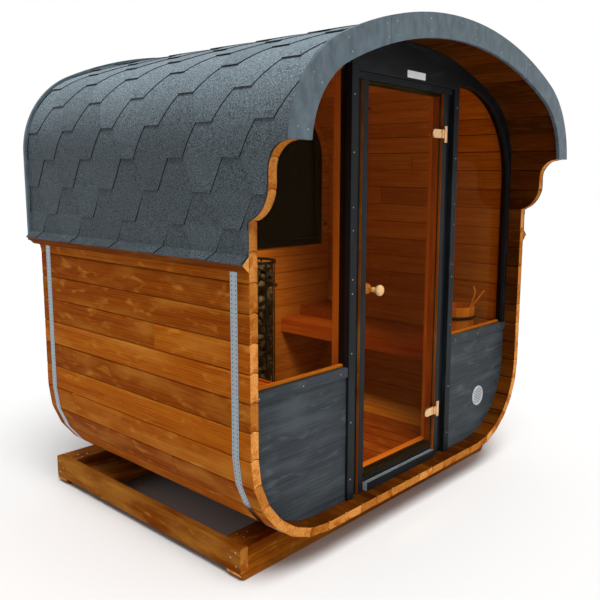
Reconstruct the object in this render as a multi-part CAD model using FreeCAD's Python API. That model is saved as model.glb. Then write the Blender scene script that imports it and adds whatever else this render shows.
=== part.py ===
import FreeCAD, Part
import math
import os

# Outdoor sauna cabin. Millimetres, +Z up, +X to the right of someone who faces the door.
# The entrance looks towards -Y. The origin is on the ground, in the middle of the footprint.

# Shell of staves, its outer faces drawn as a rounded square with a flatter crown
body_width = 2210.0
shell_height = 2267.0
stave_thickness = 43.0
stave_pitch = 117.0
bottom_radius = 460.0
shoulder_radius = 440.0
crown_radius = 1980.0
wall_length = 1620.0
groove_half_width = 3.0
groove_depth = 4.0

# Roof overhangs, and the ogee cut on the front ends of the side walls
front_overhang = 245.0
rear_overhang = 100.0
ogee_side_staves = 14
ogee_bulge_radius = 150.0
ogee_bulge_inset = 42.0
ogee_hollow_radius = 107.0
ogee_waist_height = 45.0
roof_side_staves = 16
rear_hollow_radius = 60.0
crown_side_staves = 8

# Roof trim
shingle_thickness = 9.0
fascia_thickness = 20.0
fascia_width = 104.0
fascia_rise = 20.0
fascia_joint_x = 580.0
fascia_joint_gap = 1.0
rear_fascia_lift = 17.0
batten_height = 65.0
batten_lift = 41.0
batten_projection = 33.0

# Steel bands
band_width = 42.0
band_thickness = 1.5
band_front_setback = 89.0
band_rear_setback = 75.0

# Timber base
base_setback = 170.0
base_length = 1570.0
base_width = 2038.0
ground_beam_height = 70.0
ground_beam_depth = 95.0
ground_beam_chamfer = 22.0
side_beam_width = 42.0
side_beam_height = 117.0
side_beam_rounding = 6.0
plank_thickness = 40.0
plank_width = 144.0
plank_gap = 1.5
rear_lower_planks = 3

# Front wall
panel_recess = 86.0
panel_thickness = 43.0
panel_top_z = 850.0
sill_rail_height = 46.0
sill_rail_thickness = 10.0
pane_thickness = 6.0
pane_setback = 16.0
edge_frame_width = 27.0
edge_frame_proud = 6.0
pane_roof_margin = 79.0
pane_corner_radius = 500.0
inner_sill_height = 12.0
inner_sill_depth = 20.0

# Doorway
post_outer_x = 440.0
post_width = 47.0
post_proud = 14.0
post_depth = 68.0
jamb_face_width = 39.0
jamb_recess = 14.0
stop_width = 15.0
head_thickness = 32.0
head_panel_thickness = 40.0
threshold_height = 45.0
threshold_groove = 5.0
threshold_grooves = 3
threshold_stop_height = 20.0
inner_post_width = 120.0
inner_post_depth = 40.0
inner_threshold_height = 92.0

# Glass door leaf, hung on the right, and its fittings
leaf_width = 604.0
leaf_top_drop = 259.0
leaf_thickness = 8.0
leaf_bottom_z = 262.0
leaf_gap = 5.0
leaf_setback = 2.0
hinge_inset_z = 200.0
hinge_axis_offset = 12.0
hinge_axis_stand_off = 12.0
hinge_pin_radius = 4.0
hinge_pin_clearance = 0.3
hinge_knuckle_radius = 7.0
hinge_leaf_length = 88.0
hinge_leaf_height = 44.0
hinge_leaf_thickness = 8.0
hinge_plate_height = 85.0
hinge_plate_thickness = 4.0
hinge_plate_gap = 1.0
hinge_ear_height = 12.0
hinge_edge_inset = 2.5
hinge_stop_clearance = 12.0
knob_edge_distance = 57.0
knob_z = 1195.0
knob_radius = 27.0
knob_length = 52.0
knob_foot_radius = 12.0
knob_neck_radius = 9.5
knob_neck_reach = 15.0
knob_steps = 5
knob_sides = 20
spindle_radius = 5.0
spindle_clearance = 0.3

# Round air vent in the right panel
vent_wall_distance = 288.0
vent_z = 436.0
vent_hole_radius = 50.0
vent_flange_radius = 60.0
vent_flange_thickness = 5.0
vent_bars = 6
vent_bar_width = 4.0

# Back wall and its panoramic window
back_wall_thickness = 44.0
window_side_margin = 127.0
window_bottom_z = 1245.0
window_roof_margin = 72.0
window_corner_radius = 330.0
window_frame_width = 45.0
window_frame_proud = 10.0
window_glass_thickness = 8.0

# Floor and benches
deck_batten_height = 20.0
deck_board_thickness = 25.0
deck_board_width = 92.0
deck_board_gap = 9.0
deck_boards = 11
deck_battens = 4
deck_batten_width = 60.0
bench_depth = 494.0
bench_top_z = 738.0
bench_slat_thickness = 28.0
bench_slats = 5
bench_slat_gap = 10.0
bench_apron_height = 94.0
bench_apron_thickness = 22.0
bench_bearer_height = 45.0
bench_bearer_width = 45.0
bench_bearers = 3
headrest_length = 345.0
headrest_width = 300.0
headrest_front_height = 18.0
headrest_back_height = 62.0
headrest_cheek = 25.0
headrest_slat_thickness = 16.0
headrest_slats = 5
headrest_slat_gap = 10.0

# Stove: a pillar of stones in a round cage
stove_y = 1270.0
stove_radius = 170.0
stove_height = 985.0
stove_base_height = 60.0
stove_bar_width = 14.0
stove_bar_thickness = 6.0
stove_bars = 10
stove_ring_height = 16.0
stove_rings = 2
stove_ring_thickness = 9.0
stove_stone_gap = 0.3

# Bucket and ladle on the right bench
bucket_wall_distance = 147.0
bucket_y = 350.0
bucket_height = 202.0
bucket_bottom_radius = 112.0
bucket_top_radius = 124.0
bucket_staves = 16
bucket_wall = 12.0
bucket_floor_lift = 15.0
bucket_floor_thickness = 14.0
hoop_height = 22.0
hoop_thickness = 1.5
hoop_drop = 56.0
ladle_rise_angle = 55.0
ladle_turn_angle = -64.0
ladle_handle_length = 275.0
ladle_rest_gap = 0.3
ladle_handle_wide = 46.0
ladle_handle_narrow = 30.0
ladle_handle_thickness = 9.0
ladle_bowl_radius = 42.0
ladle_bowl_depth = 48.0
ladle_bowl_wall = 4.0

# Levels and depths that several pieces share
base_top = ground_beam_height + 2 * plank_thickness
crown_top = base_top + shell_height
half_width = body_width / 2
inner_half = half_width - stave_thickness
floor_z = base_top + stave_thickness
deck_top_z = floor_z + deck_batten_height + deck_board_thickness
wall_front = -(front_overhang + base_setback + base_length) / 2 + front_overhang
wall_back = wall_front + wall_length
roof_front = wall_front - front_overhang
roof_back = wall_back + rear_overhang
stave_front = roof_front + fascia_thickness
stave_back = roof_back - fascia_thickness
panel_face = wall_front + panel_recess
panel_back = panel_face + panel_thickness
post_face = panel_face - post_proud
post_back = post_face + post_depth
back_wall_face = wall_back - back_wall_thickness
window_half_width = half_width - window_side_margin
leaf_top_z = crown_top - leaf_top_drop
bucket_x = inner_half - bucket_wall_distance
vent_x = inner_half - vent_wall_distance

# Centres of the section's arcs
low_centre_x = half_width - bottom_radius
low_centre_z = base_top + bottom_radius
crown_centre_z = crown_top - crown_radius
shoulder_x = half_width - shoulder_radius
shoulder_z = crown_centre_z + math.sqrt((crown_radius - shoulder_radius) ** 2 - shoulder_x ** 2)
tangent_angle = math.atan2(shoulder_z - crown_centre_z, shoulder_x)


def ceiling_z(x):
    """Height of the crown's inner face."""
    return crown_centre_z + math.sqrt((crown_radius - stave_thickness) ** 2 - x ** 2)


window_top_z = ceiling_z(window_half_width - window_corner_radius) - window_roof_margin
pane_side_x = inner_half - edge_frame_width
pane_top_z = ceiling_z(pane_side_x - pane_corner_radius) - pane_roof_margin

os.makedirs("parts", exist_ok=True)


def save(name, shape):
    shape.exportStep("parts/" + name + ".step")


def face_of(points, to_vector):
    corners = [to_vector(*p) for p in points]
    return Part.Face(Part.makePolygon(corners + corners[:1]))


def prism_along_y(points, start, length):
    return face_of(points, lambda x, z: FreeCAD.Vector(x, start, z)).extrude(FreeCAD.Vector(0, length, 0))


def prism_along_x(points, start, length):
    return face_of(points, lambda y, z: FreeCAD.Vector(start, y, z)).extrude(FreeCAD.Vector(length, 0, 0))


def prism_along_z(points, start, length):
    return face_of(points, lambda x, y: FreeCAD.Vector(x, y, start)).extrude(FreeCAD.Vector(0, 0, length))


def block(x0, x1, y0, y1, z0, z1):
    return Part.makeBox(x1 - x0, y1 - y0, z1 - z0, FreeCAD.Vector(x0, y0, z0))


def mirrored(shape):
    return shape.mirror(FreeCAD.Vector(0, 0, 0), FreeCAD.Vector(1, 0, 0))


def both_sides(shape):
    return Part.makeCompound([shape, mirrored(shape)])


def offset_line(points, distance):
    """Move an open line of (x, z) points to its left by a distance, with mitred corners."""
    moved = []
    for i, (x, z) in enumerate(points):
        before = points[max(i - 1, 0)]
        after = points[min(i + 1, len(points) - 1)]
        normals = []
        for a, b in ((before, (x, z)), ((x, z), after)):
            length = math.hypot(b[0] - a[0], b[1] - a[1])
            if length > 0:
                normals.append(((a[1] - b[1]) / length, (b[0] - a[0]) / length))
        nx = sum(n[0] for n in normals) / len(normals)
        nz = sum(n[1] for n in normals) / len(normals)
        scale = distance / (nx * nx + nz * nz)
        moved.append((x + nx * scale, z + nz * scale))
    return moved


# Stave joints, counted from the lower left and running anticlockwise seen from the front
def upper_point(travel, half_travel, side_travel, shoulder_travel):
    if travel > half_travel:
        x, z = upper_point(2 * half_travel - travel, half_travel, side_travel, shoulder_travel)
        return -x, z
    if travel <= side_travel:
        return half_width, low_centre_z + travel
    travel = travel - side_travel
    if travel <= shoulder_travel:
        angle = travel / shoulder_radius
        return shoulder_x + shoulder_radius * math.cos(angle), shoulder_z + shoulder_radius * math.sin(angle)
    angle = tangent_angle + (travel - shoulder_travel) / crown_radius
    return crown_radius * math.cos(angle), crown_centre_z + crown_radius * math.sin(angle)


side_travel = shoulder_z - low_centre_z
shoulder_travel = shoulder_radius * tangent_angle
half_travel = side_travel + shoulder_travel + crown_radius * (math.pi / 2 - tangent_angle)
floor_staves = round(2 * low_centre_x / stave_pitch)
corner_staves = round(bottom_radius * math.pi / 2 / stave_pitch)
upper_staves = 2 * round(half_travel / stave_pitch)

outer_joints = []
for i in range(floor_staves):
    outer_joints.append((-low_centre_x + 2 * low_centre_x * i / floor_staves, base_top))
for i in range(corner_staves):
    angle = -math.pi / 2 * (1 - i / corner_staves)
    outer_joints.append((low_centre_x + bottom_radius * math.cos(angle),
                         low_centre_z + bottom_radius * math.sin(angle)))
for i in range(upper_staves):
    travel = 2 * half_travel * i / upper_staves
    outer_joints.append(upper_point(travel, half_travel, side_travel, shoulder_travel))
for i in range(corner_staves):
    angle = -math.pi / 2 * i / corner_staves
    outer_joints.append((-low_centre_x - bottom_radius * math.cos(angle),
                         low_centre_z + bottom_radius * math.sin(angle)))

joint_count = len(outer_joints)
wall_start = floor_staves + corner_staves
closed_line = outer_joints[-1:] + outer_joints + outer_joints[:1]
inner_joints = offset_line(closed_line, stave_thickness)[1:-1]
top_joint = wall_start + upper_staves // 2
eave_joint = top_joint - roof_side_staves
ogee_joint = top_joint - ogee_side_staves
crown_joint = top_joint - crown_side_staves
crown_end_joint = top_joint + crown_side_staves
ogee_start_z = outer_joints[ogee_joint][1]
eave_start_z = outer_joints[eave_joint][1]
batten_bottom_z = eave_start_z + batten_lift


def stave_side(joints, other, first, last):
    """One face of a run of staves, with a V groove at each joint and half of one at its ends."""
    points = []
    for i in range(first, last + 1):
        here = joints[i % joint_count]
        across = other[i % joint_count]
        wall = math.hypot(across[0] - here[0], across[1] - here[1])
        bottom = tuple(here[k] + (across[k] - here[k]) * groove_depth / wall for k in (0, 1))
        for step in (-1, 0, 1):
            if step == 0:
                points.append(bottom)
                continue
            if not first <= i + step <= last:
                continue
            there = joints[(i + step) % joint_count]
            reach = math.hypot(there[0] - here[0], there[1] - here[1])
            points.append(tuple(here[k] + (there[k] - here[k]) * groove_half_width / reach for k in (0, 1)))
    return points


def stave_run(first, last, start, length):
    outside = stave_side(outer_joints, inner_joints, first, last)
    inside = stave_side(inner_joints, outer_joints, first, last)
    return prism_along_y(outside + inside[::-1], start, length)


def skin_strip(line, thickness, start, length):
    return prism_along_y(line + offset_line(line, -thickness)[::-1], start, length)


inner_space = prism_along_y(inner_joints, roof_front, roof_back - roof_front)


# Floor, lower corners and side walls of the shell
def build_walls():
    save("floor_staves", stave_run(0, floor_staves, wall_front, wall_length))
    corner = stave_run(floor_staves, wall_start, wall_front, wall_length)
    save("corner_staves", both_sides(corner))
    wall = stave_run(wall_start, eave_joint, wall_front, wall_length)
    save("wall_staves_right", wall)
    save("wall_staves_left", mirrored(wall))


# Upper walls and rounded shoulders, with the ogee cut in front and a small hollow behind
def ogee_cutter():
    bulge_y = wall_front + ogee_bulge_inset
    bulge_drop = math.sqrt(ogee_bulge_radius ** 2 - ogee_bulge_inset ** 2)
    bulge_z = ogee_start_z + bulge_drop
    waist_y = bulge_y - ogee_bulge_radius
    hollow_y = waist_y - ogee_hollow_radius
    hollow_z = bulge_z + ogee_waist_height
    hollow_top = hollow_z + ogee_hollow_radius
    middle = math.radians(225 - math.degrees(math.asin(ogee_bulge_inset / ogee_bulge_radius)) / 2)
    x = -half_width
    far_z = crown_top + shoulder_radius
    low = FreeCAD.Vector(x, wall_front, eave_start_z)
    foot = FreeCAD.Vector(x, wall_front, ogee_start_z)
    belly = FreeCAD.Vector(x, bulge_y + ogee_bulge_radius * math.cos(middle),
                           bulge_z + ogee_bulge_radius * math.sin(middle))
    waist = FreeCAD.Vector(x, waist_y, bulge_z)
    waist_top = FreeCAD.Vector(x, waist_y, hollow_z)
    bow = FreeCAD.Vector(x, hollow_y + ogee_hollow_radius * math.cos(math.pi / 4),
                         hollow_z + ogee_hollow_radius * math.sin(math.pi / 4))
    crest = FreeCAD.Vector(x, hollow_y, hollow_top)
    lip = FreeCAD.Vector(x, stave_front, hollow_top)
    top_front = FreeCAD.Vector(x, stave_front, far_z)
    top_back = FreeCAD.Vector(x, stave_back, far_z)
    tail = FreeCAD.Vector(x, stave_back, eave_start_z + rear_hollow_radius)
    tail_in = FreeCAD.Vector(x, wall_back + rear_hollow_radius, eave_start_z + rear_hollow_radius)
    tail_bow = FreeCAD.Vector(x, wall_back + rear_hollow_radius * (1 - math.cos(math.pi / 4)),
                              eave_start_z + rear_hollow_radius * math.sin(math.pi / 4))
    heel = FreeCAD.Vector(x, wall_back, eave_start_z)
    edges = [Part.makeLine(low, foot), Part.Arc(foot, belly, waist).toShape(),
             Part.makeLine(waist, waist_top), Part.Arc(waist_top, bow, crest).toShape(),
             Part.makeLine(crest, lip), Part.makeLine(lip, top_front),
             Part.makeLine(top_front, top_back), Part.makeLine(top_back, tail),
             Part.makeLine(tail, tail_in), Part.Arc(tail_in, tail_bow, heel).toShape(),
             Part.makeLine(heel, low)]
    face = Part.Face(Part.Wire(edges))
    return face.extrude(FreeCAD.Vector(2 * (half_width + batten_projection + shingle_thickness), 0, 0)), hollow_top


side_shape, ogee_top_z = ogee_cutter()
side_shape.translate(FreeCAD.Vector(-batten_projection - shingle_thickness, 0, 0))


def build_shoulders():
    depth = stave_back - stave_front
    shoulder = stave_run(eave_joint, crown_joint, stave_front, depth).common(side_shape)
    save("shoulder_staves_right", shoulder)
    save("shoulder_staves_left", mirrored(shoulder))
    save("crown_staves", stave_run(crown_joint, crown_end_joint, stave_front, depth))


# Shingle covering, kicked outwards over the eave battens
def build_covering():
    batten_top = batten_bottom_z + batten_height
    apex_z = batten_bottom_z + batten_height / 2
    apex_x = half_width + batten_projection
    climb = [p for p in outer_joints[eave_joint:crown_joint + 1] if p[1] > batten_top + shingle_thickness]
    line = [(apex_x, apex_z), (half_width, batten_top)] + climb
    skin = skin_strip(line, shingle_thickness, stave_front, stave_back - stave_front).common(side_shape)
    save("shingles_right", skin)
    save("shingles_left", mirrored(skin))
    crown = outer_joints[crown_joint:crown_end_joint + 1]
    save("shingles_crown", skin_strip(crown, shingle_thickness, stave_front, stave_back - stave_front))
    triangle = [(half_width, batten_bottom_z), (apex_x, apex_z), (half_width, batten_top)]
    save("eave_battens", both_sides(prism_along_y(triangle, wall_front, stave_back - wall_front)))


# Fascia boards, cut from arcs in three lengths at each end of the roof
def arc_between(centre_x, centre_z, radius, start_angle, end_angle, y):
    def at(angle):
        return FreeCAD.Vector(centre_x + radius * math.cos(angle), y, centre_z + radius * math.sin(angle))
    return Part.Arc(at(start_angle), at((start_angle + end_angle) / 2), at(end_angle)).toShape()


def fascia_crown(y):
    outer_radius = crown_radius + fascia_rise
    inner_radius = outer_radius - fascia_width
    edge_x = fascia_joint_x - fascia_joint_gap / 2
    outer_angle = math.acos(edge_x / outer_radius)
    inner_angle = math.acos(edge_x / inner_radius)
    top = arc_between(0, crown_centre_z, outer_radius, outer_angle, math.pi - outer_angle, y)
    under = arc_between(0, crown_centre_z, inner_radius, math.pi - inner_angle, inner_angle, y)
    left = Part.makeLine(top.Vertexes[-1].Point, under.Vertexes[0].Point)
    right = Part.makeLine(under.Vertexes[-1].Point, top.Vertexes[0].Point)
    face = Part.Face(Part.Wire([top, left, under, right]))
    return face.extrude(FreeCAD.Vector(0, fascia_thickness, 0))


def fascia_side(y, end_z):
    low_z = min(end_z, shoulder_z - fascia_width)
    edge_x = fascia_joint_x + fascia_joint_gap / 2
    edges = []
    for rise in (fascia_rise, fascia_rise - fascia_width):
        crown_edge = math.acos(edge_x / (crown_radius + rise))
        top = arc_between(0, crown_centre_z, crown_radius + rise, crown_edge, tangent_angle, y)
        bend = arc_between(shoulder_x, shoulder_z, shoulder_radius + rise, tangent_angle, 0, y)
        foot = FreeCAD.Vector(half_width + rise, y, low_z)
        leg = Part.makeLine(bend.Vertexes[-1].Point, foot)
        edges.append((top, bend, leg, foot))
    outer, inner = edges
    end = Part.makeLine(outer[3], inner[3])
    close = Part.makeLine(inner[0].Vertexes[0].Point, outer[0].Vertexes[0].Point)
    wire = Part.Wire([outer[0], outer[1], outer[2], end, inner[2], inner[1], inner[0], close])
    board = Part.Face(wire).extrude(FreeCAD.Vector(0, fascia_thickness, 0))
    return board.common(block(0, 2 * half_width, y, y + fascia_thickness, end_z, crown_top + fascia_rise))


def build_fascias():
    save("fascia_front_crown", fascia_crown(roof_front))
    save("fascia_front_sides", both_sides(fascia_side(roof_front, ogee_top_z)))
    save("fascia_rear_crown", fascia_crown(stave_back))
    save("fascia_rear_sides", both_sides(fascia_side(stave_back, batten_bottom_z + rear_fascia_lift)))


# Steel bands that run from eave to eave under the shell
def build_bands():
    below = [p for p in outer_joints[wall_start:] if p[1] < batten_bottom_z - band_thickness]
    left_half = [p for p in below if p[0] < 0]
    right_half = [p for p in below if p[0] > 0]
    line = [(-half_width, batten_bottom_z)] + left_half + outer_joints[:wall_start] + right_half
    line = line + [(half_width, batten_bottom_z)]
    bands = []
    for middle in (wall_front + band_front_setback, wall_back - band_rear_setback):
        bands.append(skin_strip(line, band_thickness, middle - band_width / 2, band_width))
    save("steel_bands", Part.makeCompound(bands))


# Ground beams, side beams let into their ends, and two layers of cross planks
def build_base():
    front = wall_front + base_setback
    back = front + base_length
    half_base = base_width / 2
    beam_floor = base_top - side_beam_height
    notch_x = half_base - side_beam_width
    outline = [(-half_base, ground_beam_chamfer), (-half_base + ground_beam_chamfer, 0),
               (half_base - ground_beam_chamfer, 0), (half_base, ground_beam_chamfer),
               (half_base, beam_floor), (notch_x, beam_floor), (notch_x, ground_beam_height),
               (-notch_x, ground_beam_height), (-notch_x, beam_floor), (-half_base, beam_floor)]
    beams = []
    for start in (front, back - ground_beam_depth):
        beams.append(prism_along_y(outline, start, ground_beam_depth))
    save("ground_beams", Part.makeCompound(beams))

    side = block(notch_x, half_base, front, back, beam_floor, base_top)
    long_edges = [e for e in side.Edges if abs(e.Vertexes[0].Y - e.Vertexes[1].Y) > base_length / 2]
    side = side.makeFillet(side_beam_rounding, long_edges)
    save("side_beams", both_sides(side))

    lower = []
    upper = []
    middle_z = ground_beam_height + plank_thickness
    for start, layer, z in ((front, lower, ground_beam_height), (front, upper, middle_z),
                            (back - plank_width, upper, middle_z)):
        layer.append(block(-notch_x, notch_x, start, start + plank_width, z, z + plank_thickness))
    for i in range(rear_lower_planks):
        start = back - plank_width - i * (plank_width + plank_gap)
        lower.append(block(-notch_x, notch_x, start, start + plank_width, ground_beam_height, middle_z))
    save("cross_planks_lower", Part.makeCompound(lower))
    save("cross_planks_upper", Part.makeCompound(upper))


# Side panes, with a straight sill and one large rounded upper corner each
def pane_shape(y, depth):
    centre_x = pane_side_x - pane_corner_radius
    centre_z = pane_top_z - pane_corner_radius
    arc = arc_between(centre_x, centre_z, pane_corner_radius, 0, math.pi / 2, y)
    low_side = FreeCAD.Vector(pane_side_x, y, panel_top_z)
    low_post = FreeCAD.Vector(post_outer_x, y, panel_top_z)
    high_post = FreeCAD.Vector(post_outer_x, y, pane_top_z)
    edges = [Part.makeLine(low_post, low_side), Part.makeLine(low_side, arc.Vertexes[0].Point), arc,
             Part.makeLine(arc.Vertexes[-1].Point, high_post), Part.makeLine(high_post, low_post)]
    return Part.Face(Part.Wire(edges)).extrude(FreeCAD.Vector(0, depth, 0))


def build_front_wall():
    panel = block(post_outer_x, half_width, panel_face, panel_back, base_top, panel_top_z).common(inner_space)
    vent_hole = Part.makeCylinder(vent_hole_radius, panel_thickness,
                                  FreeCAD.Vector(vent_x, panel_face, vent_z), FreeCAD.Vector(0, 1, 0))
    save("front_panel_left", mirrored(panel))
    save("front_panel_right", panel.cut(vent_hole))

    rail = block(post_outer_x, inner_half, panel_face - sill_rail_thickness, panel_face,
                 panel_top_z - sill_rail_height, panel_top_z)
    save("sill_rails", both_sides(rail))

    frame_front = panel_face - edge_frame_proud
    surround = block(post_outer_x, half_width, frame_front, panel_back, panel_top_z, crown_top)
    surround = surround.common(inner_space).cut(pane_shape(frame_front, panel_back - frame_front))
    save("edge_frames", both_sides(surround))

    pane_y = panel_face + pane_setback
    save("side_glass", both_sides(pane_shape(pane_y, pane_thickness)))
    bead_y = pane_y + pane_thickness
    bead = block(post_outer_x, pane_side_x, bead_y, bead_y + inner_sill_depth,
                 panel_top_z, panel_top_z + inner_sill_height)
    save("inner_sills", both_sides(bead))


# Round vent: a flange over the hole, with level bars
def build_vent():
    centre = FreeCAD.Vector(vent_x, panel_face - vent_flange_thickness, vent_z)
    inward = FreeCAD.Vector(0, 1, 0)
    flange = Part.makeCylinder(vent_flange_radius, vent_flange_thickness, centre, inward)
    flange = flange.cut(Part.makeCylinder(vent_hole_radius, vent_flange_thickness, centre, inward))
    spacing = 2 * vent_hole_radius / (vent_bars + 1)
    disc = Part.makeCylinder(vent_flange_radius, vent_flange_thickness, centre, inward)
    for i in range(vent_bars):
        z = vent_z - vent_hole_radius + (i + 1) * spacing
        bar = block(vent_x - vent_flange_radius, vent_x + vent_flange_radius, centre.y,
                    centre.y + vent_flange_thickness, z - vent_bar_width / 2, z + vent_bar_width / 2)
        flange = flange.fuse(bar.common(disc))
    save("vent_grille", flange.removeSplitter())


# Posts, rebated jambs, head and threshold round the doorway
leaf_front = panel_face + leaf_setback
leaf_back = leaf_front + leaf_thickness
stop_face = leaf_back + leaf_gap
rebate_x = leaf_width / 2 + leaf_gap
stop_x = rebate_x - stop_width
jamb_outer_x = post_outer_x - post_width
rebate_z = leaf_top_z + leaf_gap
head_bottom_z = rebate_z + head_thickness
inner_post_x = post_outer_x - inner_post_width


def build_doorway():
    post = block(jamb_outer_x, post_outer_x, post_face, post_back, floor_z, head_bottom_z)
    save("front_posts", both_sides(post))

    face_x = rebate_x + jamb_face_width
    outline = [(stop_x, stop_face), (rebate_x, stop_face), (rebate_x, panel_face), (face_x, panel_face),
               (face_x, panel_face + jamb_recess), (jamb_outer_x, panel_face + jamb_recess),
               (jamb_outer_x, post_back), (stop_x, post_back)]
    save("door_jambs", both_sides(prism_along_z(outline, floor_z, rebate_z - floor_z)))

    outline = [(stop_face, rebate_z - stop_width), (post_back, rebate_z - stop_width),
               (post_back, head_bottom_z), (panel_face, head_bottom_z), (panel_face, rebate_z),
               (stop_face, rebate_z)]
    head = prism_along_x(outline, -jamb_outer_x, 2 * jamb_outer_x)
    for side in (-1, 1):
        ends = sorted((side * stop_x, side * jamb_outer_x))
        head = head.cut(block(ends[0], ends[1], post_face, post_back, leaf_bottom_z, rebate_z))
    save("door_head", head)

    panel = block(-post_outer_x, post_outer_x, post_face, post_face + head_panel_thickness,
                  head_bottom_z, crown_top)
    save("head_panel", panel.common(inner_space))


# Threshold with grooves in its tread, and the bare wood rail behind it
def build_threshold():
    tread_z = floor_z + threshold_height
    tread_end = leaf_back
    pitch = (tread_end - post_face) / (threshold_grooves + 1)
    outline = [(post_face, floor_z), (post_face, tread_z)]
    for i in range(threshold_grooves):
        middle = post_face + (i + 1) * pitch
        outline.append((middle - threshold_groove / 2, tread_z))
        outline.append((middle - threshold_groove / 2, tread_z - threshold_groove))
        outline.append((middle + threshold_groove / 2, tread_z - threshold_groove))
        outline.append((middle + threshold_groove / 2, tread_z))
    stop_top = leaf_bottom_z + threshold_stop_height
    outline = outline + [(stop_face, tread_z), (stop_face, stop_top), (post_back, stop_top), (post_back, floor_z)]
    save("threshold", prism_along_x(outline, -stop_x, 2 * stop_x))
    inner_back = post_back + inner_post_depth
    save("inner_threshold", block(-inner_post_x, inner_post_x, post_back, inner_back,
                                  floor_z, floor_z + inner_threshold_height))
    post = block(inner_post_x, post_outer_x, post_back, inner_back, floor_z, crown_top)
    save("inner_posts", both_sides(post.common(inner_space)))


# Frameless glass leaf, drilled for the knob spindle
hinge_x = leaf_width / 2 + hinge_axis_offset
hinge_y = panel_face - hinge_axis_stand_off
knob_x = -leaf_width / 2 + knob_edge_distance
hinge_heights = (leaf_bottom_z + hinge_inset_z, leaf_top_z - hinge_inset_z)


def build_leaf():
    half = leaf_width / 2
    glass = block(-half, half, leaf_front, leaf_back, leaf_bottom_z, leaf_top_z)
    hole = Part.makeCylinder(spindle_radius + spindle_clearance, leaf_thickness,
                             FreeCAD.Vector(knob_x, leaf_front, knob_z), FreeCAD.Vector(0, 1, 0))
    save("door_glass", glass.cut(hole))

    clamps = []
    plates = []
    for z in hinge_heights:
        clamps.append(hinge_clamp(z))
        plates.append(hinge_plate(z))
    save("hinge_clamps", Part.makeCompound(clamps))
    save("hinge_plates", Part.makeCompound(plates))


# Hinge: two rounded plates clamp the glass, and a knuckle turns on a pin held between two ears
def rounded_plate(x0, x1, y, thickness, z):
    radius = hinge_leaf_height / 2
    end = Part.makeCylinder(radius, thickness, FreeCAD.Vector(x0 + radius, y, z), FreeCAD.Vector(0, 1, 0))
    return end.fuse(block(x0 + radius, x1, y, y + thickness, z - radius, z + radius))


def hinge_clamp(z):
    inner_x = stop_x - hinge_stop_clearance
    outer_x = leaf_width / 2 - hinge_edge_inset
    front = rounded_plate(outer_x - hinge_leaf_length, outer_x, leaf_front - hinge_leaf_thickness,
                          hinge_leaf_thickness, z)
    back = rounded_plate(outer_x - hinge_leaf_length, inner_x, leaf_back, hinge_leaf_thickness, z)
    half = hinge_leaf_height / 2
    neck = block(outer_x - hinge_leaf_thickness, hinge_x, hinge_y, panel_face - leaf_gap, z - half, z + half)
    knuckle = Part.makeCylinder(hinge_knuckle_radius, hinge_leaf_height,
                                FreeCAD.Vector(hinge_x, hinge_y, z - half))
    bore = Part.makeCylinder(hinge_pin_radius + hinge_pin_clearance, hinge_leaf_height,
                             FreeCAD.Vector(hinge_x, hinge_y, z - half))
    moving = front.fuse([neck, knuckle]).cut(bore).removeSplitter()
    return Part.makeCompound([moving, back.removeSplitter()])


def hinge_plate(z):
    half_leaf = hinge_leaf_height / 2
    gap = hinge_pin_clearance
    low = z - half_leaf - gap - hinge_ear_height
    high = z + half_leaf + gap + hinge_ear_height
    plate_x0 = hinge_x + hinge_knuckle_radius + hinge_plate_gap
    plate_x1 = rebate_x + jamb_face_width
    plate = block(plate_x0, plate_x1, panel_face - hinge_plate_thickness, panel_face,
                  z - hinge_plate_height / 2, z + hinge_plate_height / 2)
    pieces = []
    for start in (low, z + half_leaf + gap):
        pieces.append(Part.makeCylinder(hinge_knuckle_radius, hinge_ear_height,
                                        FreeCAD.Vector(hinge_x, hinge_y, start)))
        pieces.append(block(hinge_x, plate_x0 + hinge_plate_thickness, hinge_y, panel_face,
                            start, start + hinge_ear_height))
    pieces.append(Part.makeCylinder(hinge_pin_radius, high - low, FreeCAD.Vector(hinge_x, hinge_y, low)))
    return plate.fuse(pieces).removeSplitter()


# Wooden knobs on both faces of the glass, one piece with their spindle, turned with narrow flat sides
def knob_line(face_y, way):
    """Half of the turned section, from the glass to the tip of one knob."""
    half_length = (knob_length - knob_neck_reach) / 2
    neck_angle = math.asin(knob_neck_radius / knob_radius)
    line = [(spindle_radius, 0), (knob_foot_radius, 0), (knob_neck_radius, knob_neck_reach)]
    for i in range(1, knob_steps + 1):
        angle = neck_angle + (math.pi - neck_angle) * i / knob_steps
        line.append((knob_radius * math.sin(angle), knob_length - half_length * (1 + math.cos(angle))))
    return [(radius, face_y + way * reach) for radius, reach in line]


def flat_ring(radius, y):
    corners = []
    for i in range(knob_sides + 1):
        angle = 2 * math.pi * i / knob_sides
        corners.append(FreeCAD.Vector(radius * math.cos(angle), y, radius * math.sin(angle)))
    return corners


def build_knobs():
    line = knob_line(leaf_front, -1)[::-1] + knob_line(leaf_back, 1)
    rings = [flat_ring(max(radius, 0), y) for radius, y in line[1:-1]]
    faces = []
    for low, high in zip(rings, rings[1:]):
        for i in range(knob_sides):
            faces.append(Part.Face(Part.makePolygon([low[i], low[i + 1], high[i + 1], high[i], low[i]])))
    for ring, (radius, y) in ((rings[0], line[0]), (rings[-1], line[-1])):
        tip = FreeCAD.Vector(0, y, 0)
        for i in range(knob_sides):
            faces.append(Part.Face(Part.makePolygon([ring[i], ring[i + 1], tip, ring[i]])))
    knobs = Part.Solid(Part.makeShell(faces))
    knobs.translate(FreeCAD.Vector(knob_x, 0, knob_z))
    save("door_knobs", knobs)


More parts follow.
